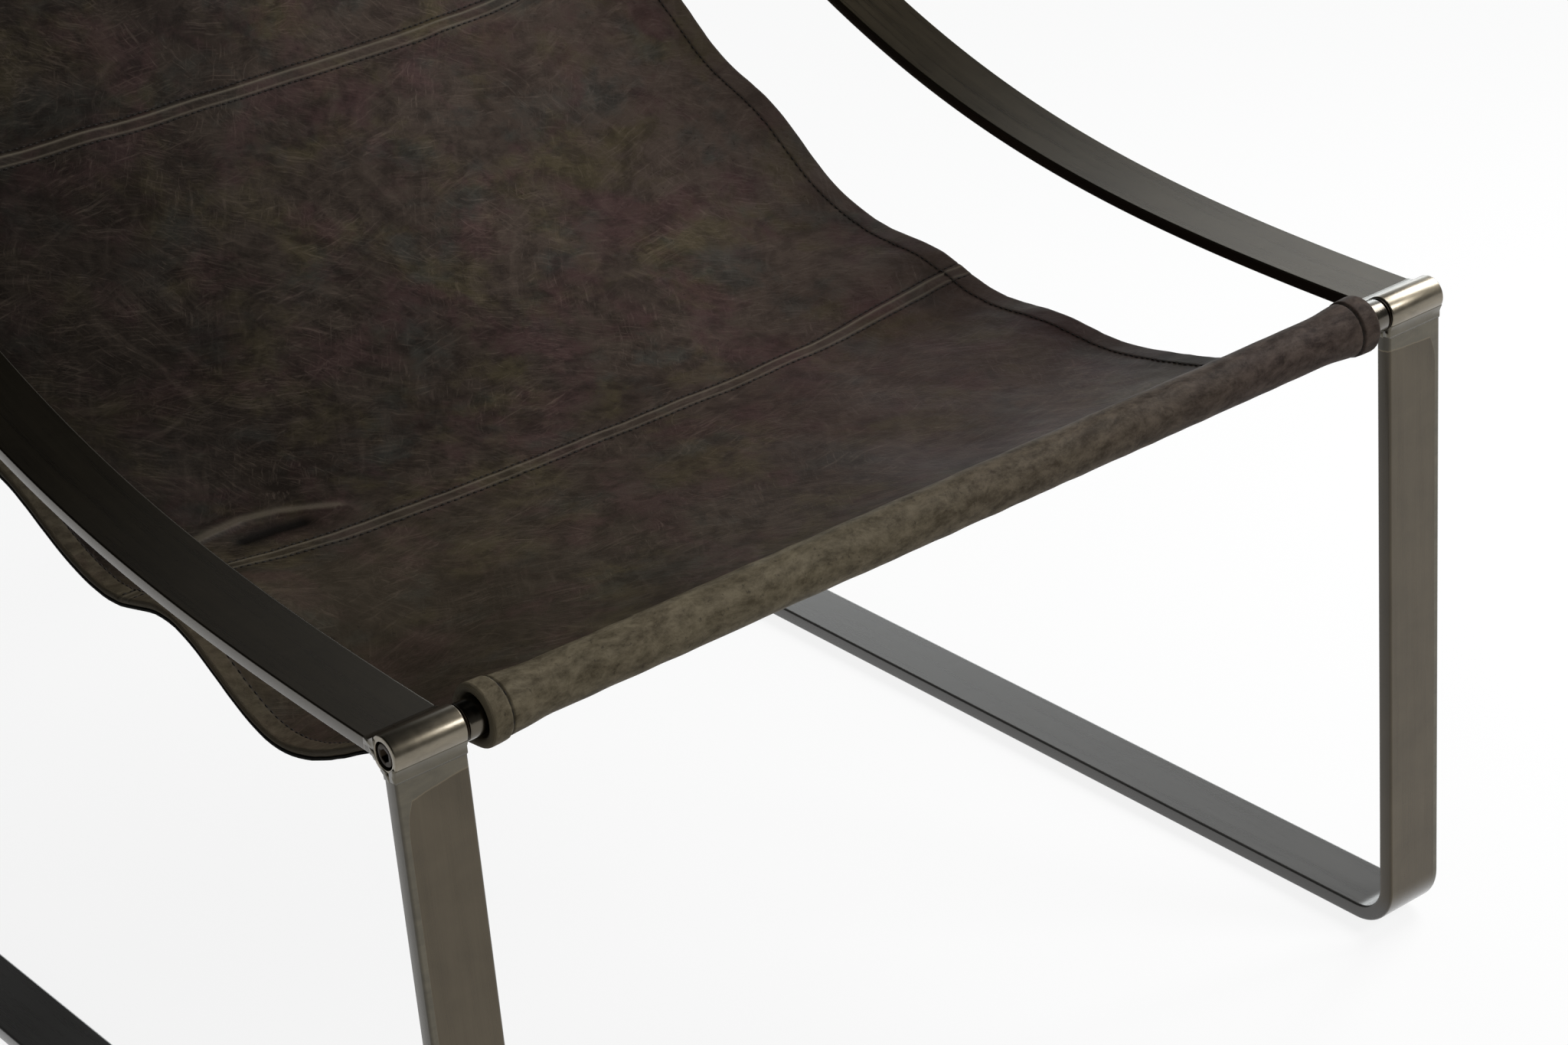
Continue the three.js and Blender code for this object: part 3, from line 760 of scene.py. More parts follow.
def across_places(fine, coarse, edge):
    half = SLING_HALF - edge
    right = spaced((0, half - FINE_EDGE, coarse), (half - FINE_EDGE, half, fine))
    right = np.append(right, half)
    return np.concatenate([-right[:0:-1], right])


def sheet_ends(rows, ring, count, arc):
    """Quads from the upper to the lower face at both ends of a sheet."""
    faces = []
    for first, flip in ((0, 1), ((rows - 1) * ring, -1)):
        last = first + 2 * count + arc - 1
        faces += [[first + j, first + j + 1, last - 1 - j, last - j][::flip] for j in range(count - 1)]
    return faces


def leather_piece():
    middle_end = SLING_LENGTH - SLEEVE_ZONE
    seams = [(seam + SEAM_ZONE[0], seam + SEAM_ZONE[1], FINE_STEP) for seam in SEAMS]
    places = spaced((FIRST_PLACE, SLEEVE_ZONE, SLEEVE_STEP), (SLEEVE_ZONE, middle_end, SHEET_STEP),
                    (middle_end, LAST_PLACE, SLEEVE_STEP), *FOLD_ROWS, *seams)
    places = np.append(places, LAST_PLACE)
    columns = across_places(FINE_STEP, SHEET_STEP, HEM_ROUND)
    columns = np.unique(np.concatenate([columns, spaced(FOLD_COLUMNS)]))
    turns = np.radians([67, 45, 22, 0, -22, -45, -67])
    count, arc = len(columns), len(turns)
    place, across = np.meshgrid(places, columns, indexing="ij")
    top = top_height(place, across)
    under = under_height(place, across)

    def edge_block(side, column):
        """The rounded edge of one side: its points, places along and round, and shares of the top."""
        middle = (top[:, column] + under[:, column]) / 2
        half = (top[:, column] - under[:, column]) / 2
        order = turns[::side]
        inner = np.full_like(places, side * (SLING_HALF - HEM_ROUND))
        shape = [sheet_point(places, inner, middle + half * math.sin(t), side * HEM_ROUND * math.cos(t))
                 for t in order]
        around = side * (SLING_HALF + HEM_ROUND * (math.pi / 2 - order))
        rows = (len(places), 1)
        return (np.stack(shape, axis=1), np.tile(places[:, None], arc), np.tile(around, rows),
                np.tile(np.sin(order) * 0.5 + 0.5, rows))

    lower = (sheet_point(place, across, under), place, across, np.zeros_like(place))
    blocks = [
        (sheet_point(place, across, top), place, across, np.ones_like(place)),
        edge_block(1, -1),
        [part[:, ::-1] for part in lower],
        edge_block(-1, 0),
    ]
    points, place, across, on_top = (np.concatenate(parts, axis=1) for parts in zip(*blocks))
    rows, ring = place.shape
    faces = ring_faces(rows, ring) + sheet_ends(rows, ring, count, arc)
    for first in (0, (rows - 1) * ring):
        faces.append([first + count - 1 + k for k in range(arc + 2)])
        faces.append([first + ring - arc - 1 + k for k in range(arc + 1)] + [first])
    _, seam_groove, rubbed = seam_shape(place, across)
    _, hem_groove = hem_shape(place, across)
    groove_and_shade = np.maximum(seam_groove, hem_groove * (0.45 + 0.55 * sleeve_share(place)))
    width = hem_width(place, across)
    fields = {
        "flat": np.stack([across, place, 1 - on_top], axis=-1),
        # Stitched grooves, which the leather darkens with painted shade
        "groove_and_shade": groove_and_shade * on_top,
        "hem": 1 - smoothstep(edge_distance(across), width - 0.001, width),
        # Fold rise: crests painted pale with wear and a highlight, hollows darkened with painted shade
        "crest": np.clip(fold_rise(place, across) / FULL_CREST, -1, 1) * on_top,
        # Seam ridges, worn pale and painted with a highlight
        "band": rubbed * on_top,
        "sleeve": sleeve_share(place),
    }
    nodes = ["sling_front_panel", "sling_seat_panel", "sling_back_panel"]
    return mesh_piece("sling_leather", points, faces, "leather", nodes, fields)


leather = leather_piece()


def lining_piece():
    """The backing under the sling, which shows as a dark line below the hems."""
    places = np.append(spaced((0.0, SLING_LENGTH, 0.006)), SLING_LENGTH)
    gap = LINING_GAP + LAYER_GAP
    under_tail = LEATHER + LAYER_GAP
    columns = across_places(0.004, 0.012, 0.0002)
    count = len(columns)
    place, across = np.meshgrid(places, columns, indexing="ij")
    from_end = np.minimum(place, SLING_LENGTH - place)
    at_tail = 1 - smoothstep(from_end, SLEEVE_TAIL - 0.002, SLEEVE_TAIL + 0.014)
    top = -LEATHER / 2 - gap - at_tail * under_tail
    upper = sheet_point(place, across, top)
    lower = sheet_point(place, across, top - LINING)
    points = np.concatenate([upper, lower[:, ::-1]], axis=1)
    ring = 2 * count
    faces = ring_faces(len(places), ring) + sheet_ends(len(places), ring, count, 0)
    flat = np.stack([across, place, np.zeros_like(place)], axis=-1)
    flat = np.concatenate([flat, flat[:, ::-1]], axis=1)
    return mesh_piece("sling_backing", points, faces, "lining", ["sling_lining"], {"flat": flat})


lining = lining_piece()


# Thread: short stitches laid into the grooves
def stitch_template():
    sides, steps = 6, 5
    turns = np.linspace(0, 2 * math.pi, sides, endpoint=False)
    points = []
    for k in range(steps):
        share = k / (steps - 1) * 2 - 1
        radius = THREAD_RADIUS * (0.35 + 0.65 * math.sqrt(max(0.0, 1 - share**4)))
        sink = -THREAD_RADIUS * 1.1 * share**4
        along = share * STITCH_LENGTH / 2
        points += [(along, radius * 1.15 * math.cos(t), radius * math.sin(t) + sink) for t in turns]
    return np.array(points), tube_faces(steps, sides)


def stitch_rows():
    """Places, across and direction of every stitch, as pairs of its ends."""
    rows = []
    hem_places = np.arange(FIRST_PLACE + 0.002, LAST_PLACE - 0.002, STITCH_PITCH)
    hem_ends = (hem_places, hem_places + STITCH_LENGTH)
    for side in (-1, 1):
        start, end = (side * (SLING_HALF - hem_width(places, np.full_like(places, side)))
                      for places in hem_ends)
        rows.append((hem_ends[0], start, hem_ends[1], end))
    seam_across = np.arange(-SLING_HALF + 0.003, SLING_HALF - 0.005, STITCH_PITCH)
    cross = [(seam + off, 1) for seam in SEAMS for off in (-SEAM_FRONT, SEAM_BACK + SEAM_STITCH_OUT)]
    cross += [(SLEEVE_STITCH, 0), (SLING_LENGTH - SLEEVE_STITCH, 0)]
    for place, stray in cross:
        starts = place + stray * seam_wander(seam_across)
        ends = place + stray * seam_wander(seam_across + STITCH_LENGTH)
        rows.append((starts, seam_across, ends, seam_across + STITCH_LENGTH))
    return [np.concatenate(part) for part in zip(*rows)]


def stitch_piece():
    template, template_faces = stitch_template()
    s0, x0, s1, x1 = stitch_rows()
    jitter = rng.normal(0, THREAD_JITTER, (2, len(s0)))
    ends = [sheet_point(s + jitter[0], x + jitter[1], top_height(s, x) + THREAD_RADIUS * 0.5)
            for s, x in ((s0, x0), (s1, x1))]
    middle = (ends[0] + ends[1]) / 2
    along = ends[1] - ends[0]
    along /= np.linalg.norm(along, axis=1)[:, None]
    half_way = ((s0 + s1) / 2, (x0 + x1) / 2)
    up = sheet_point(*half_way, top_height(*half_way) + 0.01) - middle
    up -= along * np.sum(up * along, axis=1)[:, None]
    up /= np.linalg.norm(up, axis=1)[:, None]
    side = np.cross(up, along)
    axes = np.stack([along, side, up], axis=1)
    points = middle[:, None] + np.einsum("tk,nkc->ntc", template, axes)
    count = len(template)
    faces = [[k + i * count for k in face] for i in range(len(s0)) for face in template_faces]
    return mesh_piece("sling_stitches", points, faces, "leather")


stitches = stitch_piece()


# Stretcher, its screws and the glides
STRETCHER_EDGE = 0.0009
BUTTON_HEIGHT = 0.0044
BUTTON_KEY_DEPTH = 0.0026
BUTTON_CROWN = 0.002
FOOT_HEIGHT = 0.0027


def stretcher_piece():
    low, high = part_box("rear_stretcher")
    middle = (low + high) / 2
    edge = STRETCHER_EDGE
    reach_y, reach_z = (high.y - low.y) / 2 - edge, (high.z - low.z) / 2 - edge
    section = []
    for sy, sz, start in ((1, 1, 0), (-1, 1, 90), (-1, -1, 180), (1, -1, 270)):
        turns = np.radians(np.arange(start, start + 91, 30))
        section += list((sy * reach_y, sz * reach_z) + edge * unit(turns))
    stations = np.concatenate([[low.x], np.linspace(low.x + edge, high.x - edge, 30), [high.x]])
    points = []
    for x in stations:
        squeeze = 1 - (edge / (high.z - low.z) if x in (low.x, high.x) else 0)
        points += [(x, middle.y + y * squeeze, middle.z + z * squeeze) for y, z in section]
    points = np.array(points)
    grain = np.column_stack([points[:, 2] + points[:, 1], points[:, 0], points[:, 1]])
    faces = tube_faces(len(stations), len(section))
    mesh_piece("stretcher_bar", points, faces, "bar_metal", ["rear_stretcher"], metal_fields(grain))


stretcher_piece()

for prefix in ("left", "right"):
    for level in ("lower", "upper"):
        node = f"{prefix}_{level}_stretcher_bolt"
        low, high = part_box(node)
        radius = (high.z - low.z) / 2
        points, faces = screw_head(radius, BUTTON_HEIGHT, BUTTON_KEY_DEPTH, BUTTON_CROWN)
        points = np.column_stack([points[:, 1], -points[:, 0], points[:, 2]])
        points += [(low.x + high.x) / 2, low.y + BUTTON_HEIGHT, (low.z + high.z) / 2]
        name = f"{prefix}_{level}_button_screw"
        mesh_piece(name, points, faces, "fastener", [node], metal_fields(points))
    for level in ("front", "rear"):
        node = f"{prefix}_{level}_glide"
        low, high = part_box(node)
        radius = (high.x - low.x) / 2
        profile = [(radius - 0.0012, 0), (radius - 0.0005, 0.0002), (radius, 0.0009),
                   (radius, FOOT_HEIGHT - SMALL_EDGE), (radius - SMALL_EDGE, FOOT_HEIGHT),
                   (radius * 0.3, FOOT_HEIGHT)]
        points = turned_rings(profile, HEAD_SIDES)[:, [1, 2, 0]]
        points = points + [(low.x + high.x) / 2, (low.y + high.y) / 2, low.z]
        faces = tube_faces(len(profile), HEAD_SIDES)
        mesh_piece(f"{prefix}_{level}_foot", points, faces, "glide", [node], {"grain": points})


# Marks in the leather: direction in the flat, fineness, length, threshold, weight, shift of their patches.
# The streaks are scratches, the creases soft lines of the pulled leather.
STREAKS = (
    (0.85, 640, 22, 0.53, 1, (7.65, 640)),
    (1.05, 820, 20, 0.53, 1, (9.45, 820)),
    (1.30, 560, 24, 0.54, 1, (11.70, 560)),
    (1.70, 520, 20, 0.54, 1, (15.30, 520)),
    (0.35, 600, 18, 0.55, 1, (3.15, 600)),
    (2.60, 640, 20, 0.55, 1, (23.40, 640)),
)
CREASES = (
    (0.20, 120, 10, 0.52, 0.30, (120, 1.80)),
    (0.75, 240, 14, 0.53, 0.34, (240, 6.75)),
    (1.30, 100, 9, 0.52, 0.26, (100, 11.70)),
    (1.95, 200, 15, 0.53, 0.34, (200, 17.55)),
    (2.60, 130, 11, 0.52, 0.28, (130, 23.40)),
)

# Paler, greyer tone of the runners near the floor: a painted reflection
RUNNER_REFLECTION_TONE = (0.105, 0.104, 0.103)


class Shader:
    """Short calls for building a node material."""

    def __init__(self, owner):
        owner.use_nodes = True
        self.owner = owner
        self.tree = owner.node_tree
        self.tree.nodes.clear()

    def node(self, kind, inputs=(), output=0, **settings):
        """One output of a new node, or all of its outputs."""
        made = self.tree.nodes.new("ShaderNode" + kind)
        for key, value in settings.items():
            setattr(made, key, value)
        for key, value in dict(inputs).items():
            if isinstance(value, bpy.types.NodeSocket):
                self.tree.links.new(value, made.inputs[key])
            else:
                made.inputs[key].default_value = value
        return made.outputs if output is None else made.outputs[output]

    def field(self, name, output="Fac"):
        return self.node("Attribute", output=output, attribute_name=name)

    def noise(self, vector, scale, detail=4, roughness=0.55, distortion=0.0):
        inputs = {"Vector": vector, "Scale": scale, "Detail": detail, "Roughness": roughness}
        return self.node("TexNoise", {**inputs, "Distortion": distortion}, "Fac")

    def placed(self, vector, scale=(1, 1, 1), turn=(0, 0, 0), shift=(0, 0, 0)):
        inputs = {"Vector": vector, "Scale": scale, "Rotation": turn, "Location": shift}
        return self.node("Mapping", inputs)

    def math(self, operation, first, second=0.0, clamp=False):
        return self.node("Math", {0: first, 1: second}, operation=operation, use_clamp=clamp)

    def vector(self, operation, inputs):
        return self.node("VectorMath", inputs, operation=operation)

    def times(self, first, second, **settings):
        return self.math("MULTIPLY", first, second, **settings)

    def span(self, value, low, high, to_low=0.0, to_high=1.0, **settings):
        inputs = {"Value": value, "From Min": low, "From Max": high, "To Min": to_low, "To Max": to_high}
        return self.node("MapRange", inputs, **settings)

    def blend(self, share, first, second):
        return self.node("Mix", {0: share, 2: first, 3: second})

    def mix(self, share, first, second, blend="MIX"):
        inputs = {0: share}
        for socket, colour in ((6, first), (7, second)):
            inputs[socket] = colour if isinstance(colour, bpy.types.NodeSocket) else (*colour, 1)
        return self.node("Mix", inputs, 2, data_type="RGBA", blend_type=blend)

    def tinted(self, colour, *tints):
        """A colour with tints mixed over it in turn, each given as its share and its colour."""
        for share, tint in tints:
            colour = self.mix(share, colour, tint)
        return colour

    def bump(self, height, strength, distance, normal=None):
        inputs = {"Height": height, "Strength": strength, "Distance": distance}
        if normal is not None:
            inputs["Normal"] = normal
        return self.node("Bump", inputs)

    def shown(self, surface, kind="OutputMaterial"):
        self.node(kind, {"Surface": surface}, None)
        return self.owner

    def finish(self, colour, roughness, inputs):
        inputs = {"Base Color": colour, "Roughness": roughness, **inputs}
        return self.shown(self.node("BsdfPrincipled", inputs))


def material(name):
    return Shader(bpy.data.materials.new(name))


def drawn_marks(s, table, flat, bent, noise, fade, patches, low_patch):
    """The strongest of a table's drawn-out marks, each kept to its own patches of the leather."""
    strongest = None
    for turn, scale, long, low, weight, shift in table:
        inputs = {"Vector": bent, "Rotation": (0, 0, turn), "Scale": (1, long, 1)}
        along = s.node("Mapping", inputs, vector_type="TEXTURE")
        mark = s.span(s.noise(along, scale, *noise), low, low + fade, 0, weight)
        where = s.noise(s.placed(flat, shift=(*shift, 0)), *patches)
        mark = s.times(mark, s.span(where, low_patch, 0.62))
        strongest = mark if strongest is None else s.math("MAXIMUM", strongest, mark)
    return strongest


def leather_material():
    """Waxed pull-up leather: cloudy browns, soft light creases and scratches, ridges worn pale and painted
    with a highlight, painted light towards the right, and painted shade on the left, in fold hollows and in
    stitched grooves.
    """
    s = material("waxed_leather")
    flat = s.field("flat", "Vector")
    apart = s.node("SeparateXYZ", {0: flat}, None)
    right_side = s.span(apart["X"], -0.29, 0.29)
    on_seat = s.span(apart["Y"], FRONT_PANEL - 0.04, FRONT_PANEL + 0.04)
    off_seat = s.math("SUBTRACT", 1.0, on_seat)
    bend = s.node("TexNoise", {"Vector": flat, "Scale": 20.0, "Detail": 3.0}, "Color")
    bent = s.vector("SUBTRACT", {0: bend, 1: (0.5, 0.5, 0.5)})
    bent = s.vector("ADD", {0: flat, 1: s.vector("SCALE", {0: bent, 3: 0.018})})
    clouds = s.noise(flat, 12, 6, 0.62, 0.3)
    blotches = s.noise(bent, 60, 7, 0.66, 0.1)
    patches = s.noise(s.placed(flat, shift=(3, 1, 0)), 5.5, 4, 0.55, 0.2)
    greens, reds, greys = (s.noise(s.placed(flat, shift=shift), scale, 6, 0.62, 0.2)
                           for shift, scale in (((7, 4, 0), 15), ((1, 9, 0), 17), ((5, 2, 0), 19)))
    colour = s.mix(s.span(clouds, 0.32, 0.66), (0.0104, 0.0074, 0.0056), (0.0335, 0.0250, 0.0187))
    deep = s.times(s.span(blotches, 0.40, 0.53, 1.0, 0.0), s.span(right_side, 0.35, 1.0, 0.62, 0.30))
    left_shade = s.times(s.span(right_side, 0.05, 0.68, 0.88, 0), s.span(apart["Y"], 0.27, 0.42, 0.35, 1.0))
    colour = s.tinted(
        colour,
        (s.span(patches, 0.45, 0.7, 0, 0.40), (0.050, 0.0395, 0.0305)),
        # Painted light: the leather paler towards the right, as if lit more strongly from that side
        (s.span(right_side, 0.15, 1.0, 0, 0.58), (0.074, 0.053, 0.043)),
        (s.span(greens, 0.50, 0.62, 0, 0.74), (0.052, 0.042, 0.022)),
        (s.span(greys, 0.52, 0.64, 0, 0.62), (0.030, 0.0325, 0.0285)),
        (s.span(reds, 0.50, 0.62, 0, 0.74), (0.046, 0.024, 0.024)),
        (deep, (0.0096, 0.0066, 0.0054)),
        (s.span(blotches, 0.53, 0.68, 0, 0.16), (0.070, 0.054, 0.042)),
        (left_shade, (0.0054, 0.0040, 0.0029)),
        (s.times(off_seat, s.span(right_side, 0.2, 0.7, 0.30, 0.0)), (0.068, 0.054, 0.035)),
        (s.times(off_seat, s.span(right_side, 0.42, 0.72, 0.0, 0.42)), (0.030, 0.0165, 0.0145)),
    )
    scratches = drawn_marks(s, STREAKS, flat, bent, (4, 0.6), 0.17, (15, 4), 0.46)
    drawn_more = s.times(s.span(on_seat, 0.0, 1.0, 0.85, 1.0), s.span(right_side, 0.55, 1.0, 1.0, 0.65))
    scratches = s.times(scratches, drawn_more)
    creases = drawn_marks(s, CREASES, flat, bent, (5, 0.62), 0.18, (8, 3), 0.45)
    marks = s.math("ADD", s.times(scratches, 0.62), creases, clamp=True)
    mark_colour = s.mix(right_side, (0.100, 0.078, 0.060), (0.122, 0.094, 0.079))
    mark_colour = s.mix(0.5, mark_colour, s.mix(1.0, colour, (3.0, 3.0, 3.0), "MULTIPLY"))
    spots = s.span(s.noise(flat, 300, 4, 0.7), 0.60, 0.72, 0, 0.6)
    smears = s.noise(s.placed(bent, (1, 2.0, 1), shift=(2, 7, 0)), 80, 8, 0.74)
    smears = s.span(smears, 0.38, 0.62)
    olive = s.mix(smears, (0.062, 0.050, 0.031), (0.150, 0.125, 0.083))
    russet = s.mix(smears, (0.021, 0.015, 0.0122), (0.068, 0.051, 0.042))
    worn_leather = s.mix(s.span(apart["X"], -0.10, 0.20), olive, russet)
    pits = s.span(s.noise(s.placed(flat, shift=(4, 4, 0)), 240, 5, 0.7), 0.59, 0.68, 0, 0.55)
    worn_leather = s.mix(pits, worn_leather, (0.014, 0.010, 0.008))
    rubbed = s.times(s.field("sleeve"), 0.88)
    hem = s.times(s.field("hem"), s.span(apart["X"], -0.28, 0.28, 0.36, 0.12))
    crest = s.field("crest")
    raised = s.math("MAXIMUM", crest, 0.0)
    crest_wear_and_highlight = s.times(s.math("POWER", raised, 4.0), 0.38)
    colour = s.tinted(
        colour,
        (s.times(marks, 0.74), mark_colour),
        (spots, (0.009, 0.007, 0.006)),
        (s.math("MAXIMUM", rubbed, hem, clamp=True), worn_leather),
        # Wear and painted highlight on fold crests and seam ridges
        (s.math("ADD", crest_wear_and_highlight, s.times(s.field("band"), 0.62), clamp=True), (0.135, 0.115, 0.086)),
        # Painted shade in the fold hollows
        (s.times(crest, -1.0, clamp=True), (0.0060, 0.0048, 0.0040)),
        # Painted shade in the stitched grooves
        (s.times(s.field("groove_and_shade"), 0.75, clamp=True), (0.006, 0.005, 0.0042)),
    )
    roughness = s.math("SUBTRACT", s.span(clouds, 0.3, 0.7, 0.48, 0.62), s.times(raised, 0.2))
    grain = s.node("TexVoronoi", {"Vector": flat, "Scale": 620.0}, "Distance")
    pores = s.noise(flat, 900, 3, 0.6)
    fine_height = s.math("ADD", s.times(grain, 0.5), s.times(pores, 0.5))
    normal = s.bump(fine_height, 0.3, 0.0002)
    normal = s.bump(marks, 0.25, 0.0004, normal)
    normal = s.bump(s.noise(flat, 60, 5, 0.6, 0.2), 0.45, 0.0012, normal)
    return s.finish(colour, roughness, {"Normal": normal, "Specular IOR Level": 0.04})


def plain_material(name, field, tones, speckle, rough, specular, relief=None):
    """An even, speckled material, with a fine relief given as its noise, strength and depth."""
    s = material(name)
    place = s.field(field, "Vector") if field else s.node("TexCoord", output="Object")
    inputs = {"Specular IOR Level": specular}
    if relief:
        noise, strength, depth = relief
        inputs["Normal"] = s.bump(s.noise(place, *noise), strength, depth)
    return s.finish(s.mix(s.noise(place, *speckle), *tones), rough, inputs)


def shade(colour, share):
    return [part * share for part in colour]


def metal_material(name, dark, light, ground_tone, rough, coat):
    """Dark brushed steel under a thin clear lacquer, with smoother patches ground by the joints, painted
    shade on the bars' side faces, and a paler, greyer painted reflection on the runners.
    """
    s = material(name)
    grain = s.field("grain", "Vector")
    clouds = s.noise(grain, 26, 5, 0.6, 0.5)
    depth = s.math("ADD", s.field("ground"), s.span(clouds, 0.3, 0.7, -0.0008, 0.0008))
    ground = s.span(depth, -0.0004, 0.0004)
    brushed = s.noise(s.placed(grain, (1, 0.012, 1)), 2200, 3, 0.6)
    bands = s.noise(s.placed(grain, (1, 0.05, 1)), 180, 4, 0.55)
    streaks = s.math("ADD", s.times(brushed, 0.4), s.times(bands, 0.6))
    tone = s.math("ADD", s.times(streaks, 0.5), s.times(clouds, 0.5))
    colour = s.mix(s.span(tone, 0.32, 0.68), dark, light)
    smudges = s.noise(s.placed(grain, (0.35, 1, 1)), 130, 5, 0.65, 0.6)
    ground_colour = s.mix(s.span(smudges, 0.3, 0.7), shade(ground_tone, 0.8), shade(ground_tone, 1.2))
    low = s.field("low")
    colour = s.tinted(
        colour,
        (ground, ground_colour),
        # Painted reflection: the runners near the floor turned paler and greyer
        (s.times(low, 0.85), RUNNER_REFLECTION_TONE),
        # Painted shade: the bars' side faces darkened
        (s.times(s.field("side_face_shade"), 0.60), shade(dark, 0.2)),
        (s.span(s.math("ABSOLUTE", depth), 0.0, 0.0005, 0.5, 0.0), shade(light, 2.2)),
        (s.span(s.noise(grain, 420, 3, 0.6), 0.70, 0.76, 0, 0.5), shade(dark, 0.4)),
    )
    roughness = s.span(streaks, 0.3, 0.7, rough - 0.04, rough + 0.07)
    normal = s.bump(brushed, 0.07, 0.00015)
    normal = s.bump(clouds, 0.10, 0.0008, normal)
    normal = s.bump(ground, 0.25, 0.0004, normal)
    metallic = s.span(low, 0.0, 1.0, 1.0, 0.5)
    return s.finish(colour, roughness, {"Metallic": metallic, "Normal": normal, "Coat Weight": coat,
                                        "Coat Roughness": 0.16, "Coat IOR": 1.5})


# Dark, light and ground colour, roughness and weight of the lacquer
METALS = {
    "bar_metal": ("bar_steel", (0.050, 0.038, 0.021), (0.082, 0.064, 0.038),
                  (0.086, 0.075, 0.052), 0.28, 0.62),
    "polished_metal": ("tube_steel", (0.12, 0.10, 0.072), (0.20, 0.17, 0.13),
                       (0.185, 0.16, 0.118), 0.31, 0.6),
    "rod_metal": ("rod_steel", (0.06, 0.05, 0.036), (0.11, 0.095, 0.07), (0.08, 0.07, 0.05), 0.22, 0.5),
    "fastener": ("screw_steel", (0.012, 0.009, 0.006), (0.026, 0.019, 0.013),
                 (0.026, 0.019, 0.012), 0.38, 0.0),
}
materials = {slot: metal_material(*values) for slot, values in METALS.items()}
materials["leather"] = leather_material()
tones = ((0.010, 0.010, 0.009), (0.022, 0.021, 0.018))
weave = ((1400, 3, 0.7), 0.4, 0.0003)
materials["lining"] = plain_material("black_backing", "flat", tones, (40, 5), 0.8, 0.3, weave)
tones = ((0.012, 0.012, 0.012), (0.025, 0.025, 0.024))
grit = ((2500, 2), 0.15, 0.0001)
materials["glide"] = plain_material("black_nylon", "grain", tones, (200, 4), 0.5, 0.5, grit)
tones = ((0.006, 0.005, 0.004), (0.018, 0.014, 0.011))
thread = plain_material("dark_thread", None, tones, (900, 3), 0.75, 0.25)
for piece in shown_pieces():
    if piece.type != "MESH":
        continue
    piece.data.materials.clear()
    piece.data.materials.append(thread if piece == stitches else materials[piece["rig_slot"]])


# Camera
camera_data = bpy.data.cameras.new("camera")
camera_data.sensor_width = SENSOR_WIDTH
camera_data.lens = FOCAL_PIXELS / IMAGE_WIDTH * SENSOR_WIDTH
camera_data.clip_end = 100
camera = bpy.data.objects.new("camera", camera_data)
scene.collection.objects.link(camera)
camera.matrix_world = (Matrix.Translation(CAMERA_PLACE) @ Matrix.Rotation(CAMERA_AZIMUTH, 4, "Z")
                       @ Matrix.Rotation(math.pi / 2 - CAMERA_ELEVATION, 4, "X")
                       @ Matrix.Rotation(CAMERA_ROLL, 4, "Z"))
scene.camera = camera

# Floor, light and world
FLOOR_HALF = 40


def floor_material():
    """Pale floor that shows white to the camera and in reflections, and keeps a soft shadow."""
    s = material("studio_floor")
    rays = s.node("LightPath", output=None)
    seen = s.math("MAXIMUM", rays["Is Camera Ray"], rays["Is Glossy Ray"])
    seen = s.math("MAXIMUM", seen, rays["Is Transmission Ray"])
    diffuse = s.node("BsdfDiffuse", {"Color": (0.86, 0.86, 0.86, 1)})
    glow = s.node("Emission", {"Color": (1, 1, 1, 1), "Strength": 1.0})
    share = s.times(seen, 0.86)
    return s.shown(s.node("MixShader", {0: share, 1: diffuse, 2: glow}))


floor_mesh = bpy.data.meshes.new("floor")
corners = [(x * FLOOR_HALF, y * FLOOR_HALF, 0) for x, y in ((-1, -1), (1, -1), (1, 1), (-1, 1))]
floor_mesh.from_pydata(corners, [], [(0, 1, 2, 3)])
floor = bpy.data.objects.new("floor", floor_mesh)
floor_mesh.materials.append(floor_material())
scene.collection.objects.link(floor)


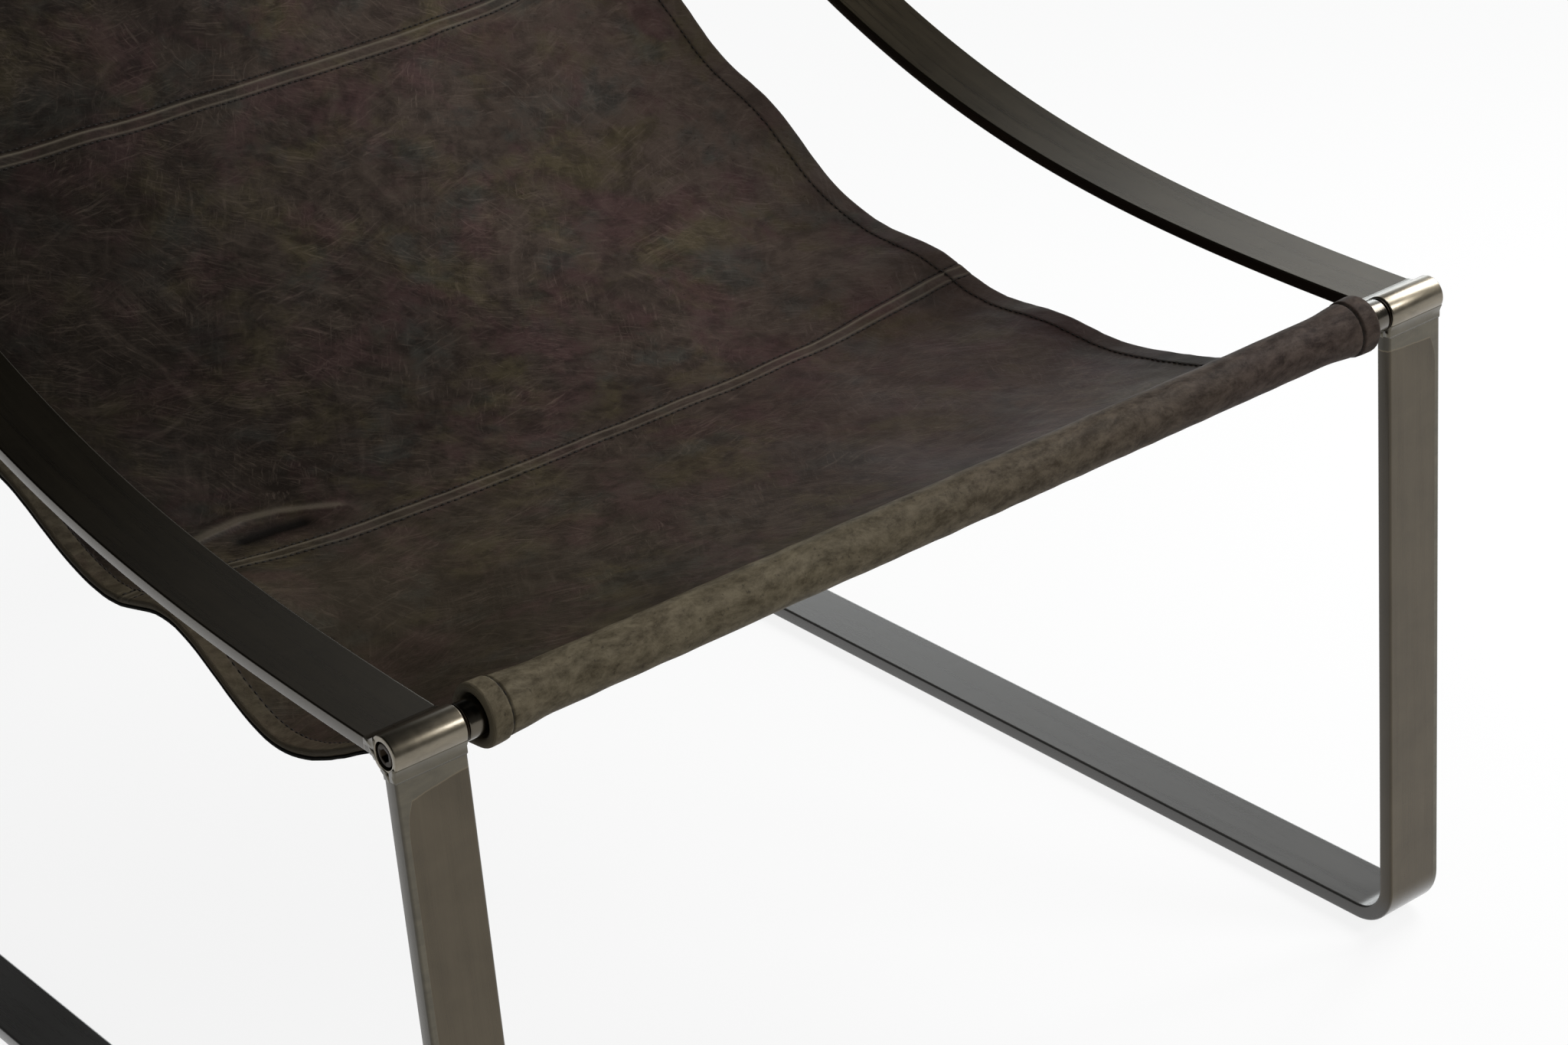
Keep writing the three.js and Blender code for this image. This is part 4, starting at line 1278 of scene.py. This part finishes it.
def area_lamp(name, place, target, size, power, colour=(1, 1, 1)):
    lamp = bpy.data.lights.new(name, "AREA")
    lamp.color = colour
    lamp.shape = "RECTANGLE"
    lamp.size, lamp.size_y = size
    lamp.energy = power
    holder = bpy.data.objects.new(name, lamp)
    holder.location = place
    holder.rotation_euler = (Vector(target) - Vector(place)).to_track_quat("-Z", "Y").to_euler()
    scene.collection.objects.link(holder)


area_lamp("key_softbox", (1.35, -1.95, 1.75), (0, 0, 0.35), (0.7, 0.6), 22)
area_lamp("side_softbox", (1.35, -0.35, 1.35), (0, 0, 0.4), (0.8, 0.8), 21)
area_lamp("back_softbox", (2.3, 2.0, 0.7), (0.1, 0.1, 0.4), (2.4, 1.1), 12, (0.92, 0.98, 1.0))

# The metal mirrors a bright wall that stands behind the chair, to the right, and fades upwards.
# Azimuths turn from +Y towards +X, and all of these angles are in degrees.
WALL_START = (27, 38)
WALL_END = (85, 110)
WALL_FADE = (17, 48)
WALL_LEVEL = 0.87
WALL_DARK = 0.035
OFF_WALL = 0.12
AMBIENT = 0.32


def studio_world():
    """White to the camera, a bright wall in reflections, and an even light otherwise."""
    s = Shader(bpy.data.worlds.new("studio"))
    rays = s.node("LightPath", output=None)
    heading = s.node("TexCoord", output="Generated")
    parts = s.node("SeparateXYZ", {0: heading}, None)
    azimuth = s.math("ARCTAN2", parts["X"], parts["Y"])
    start, end = ([math.radians(a) for a in pair] for pair in (WALL_START, WALL_END))
    smooth = {"interpolation_type": "SMOOTHSTEP"}
    side = s.times(s.span(azimuth, *start, **smooth), s.span(azimuth, *end, 1.0, 0.0, **smooth))
    side = s.span(side, 0.0, 1.0, OFF_WALL, 1.0)
    low, high = (math.sin(math.radians(a)) for a in WALL_FADE)
    height = s.span(parts["Z"], low, high, WALL_LEVEL, WALL_DARK, **smooth)
    mirrored = s.math("MAXIMUM", rays["Is Glossy Ray"], rays["Is Transmission Ray"])
    strength = s.blend(mirrored, AMBIENT, s.times(side, height))
    strength = s.blend(rays["Is Camera Ray"], strength, 1.0)
    background = s.node("Background", {"Color": (0.98, 1, 1, 1), "Strength": strength})
    return s.shown(background, "OutputWorld")


scene.world = studio_world()

scene.view_settings.view_transform = "Standard"
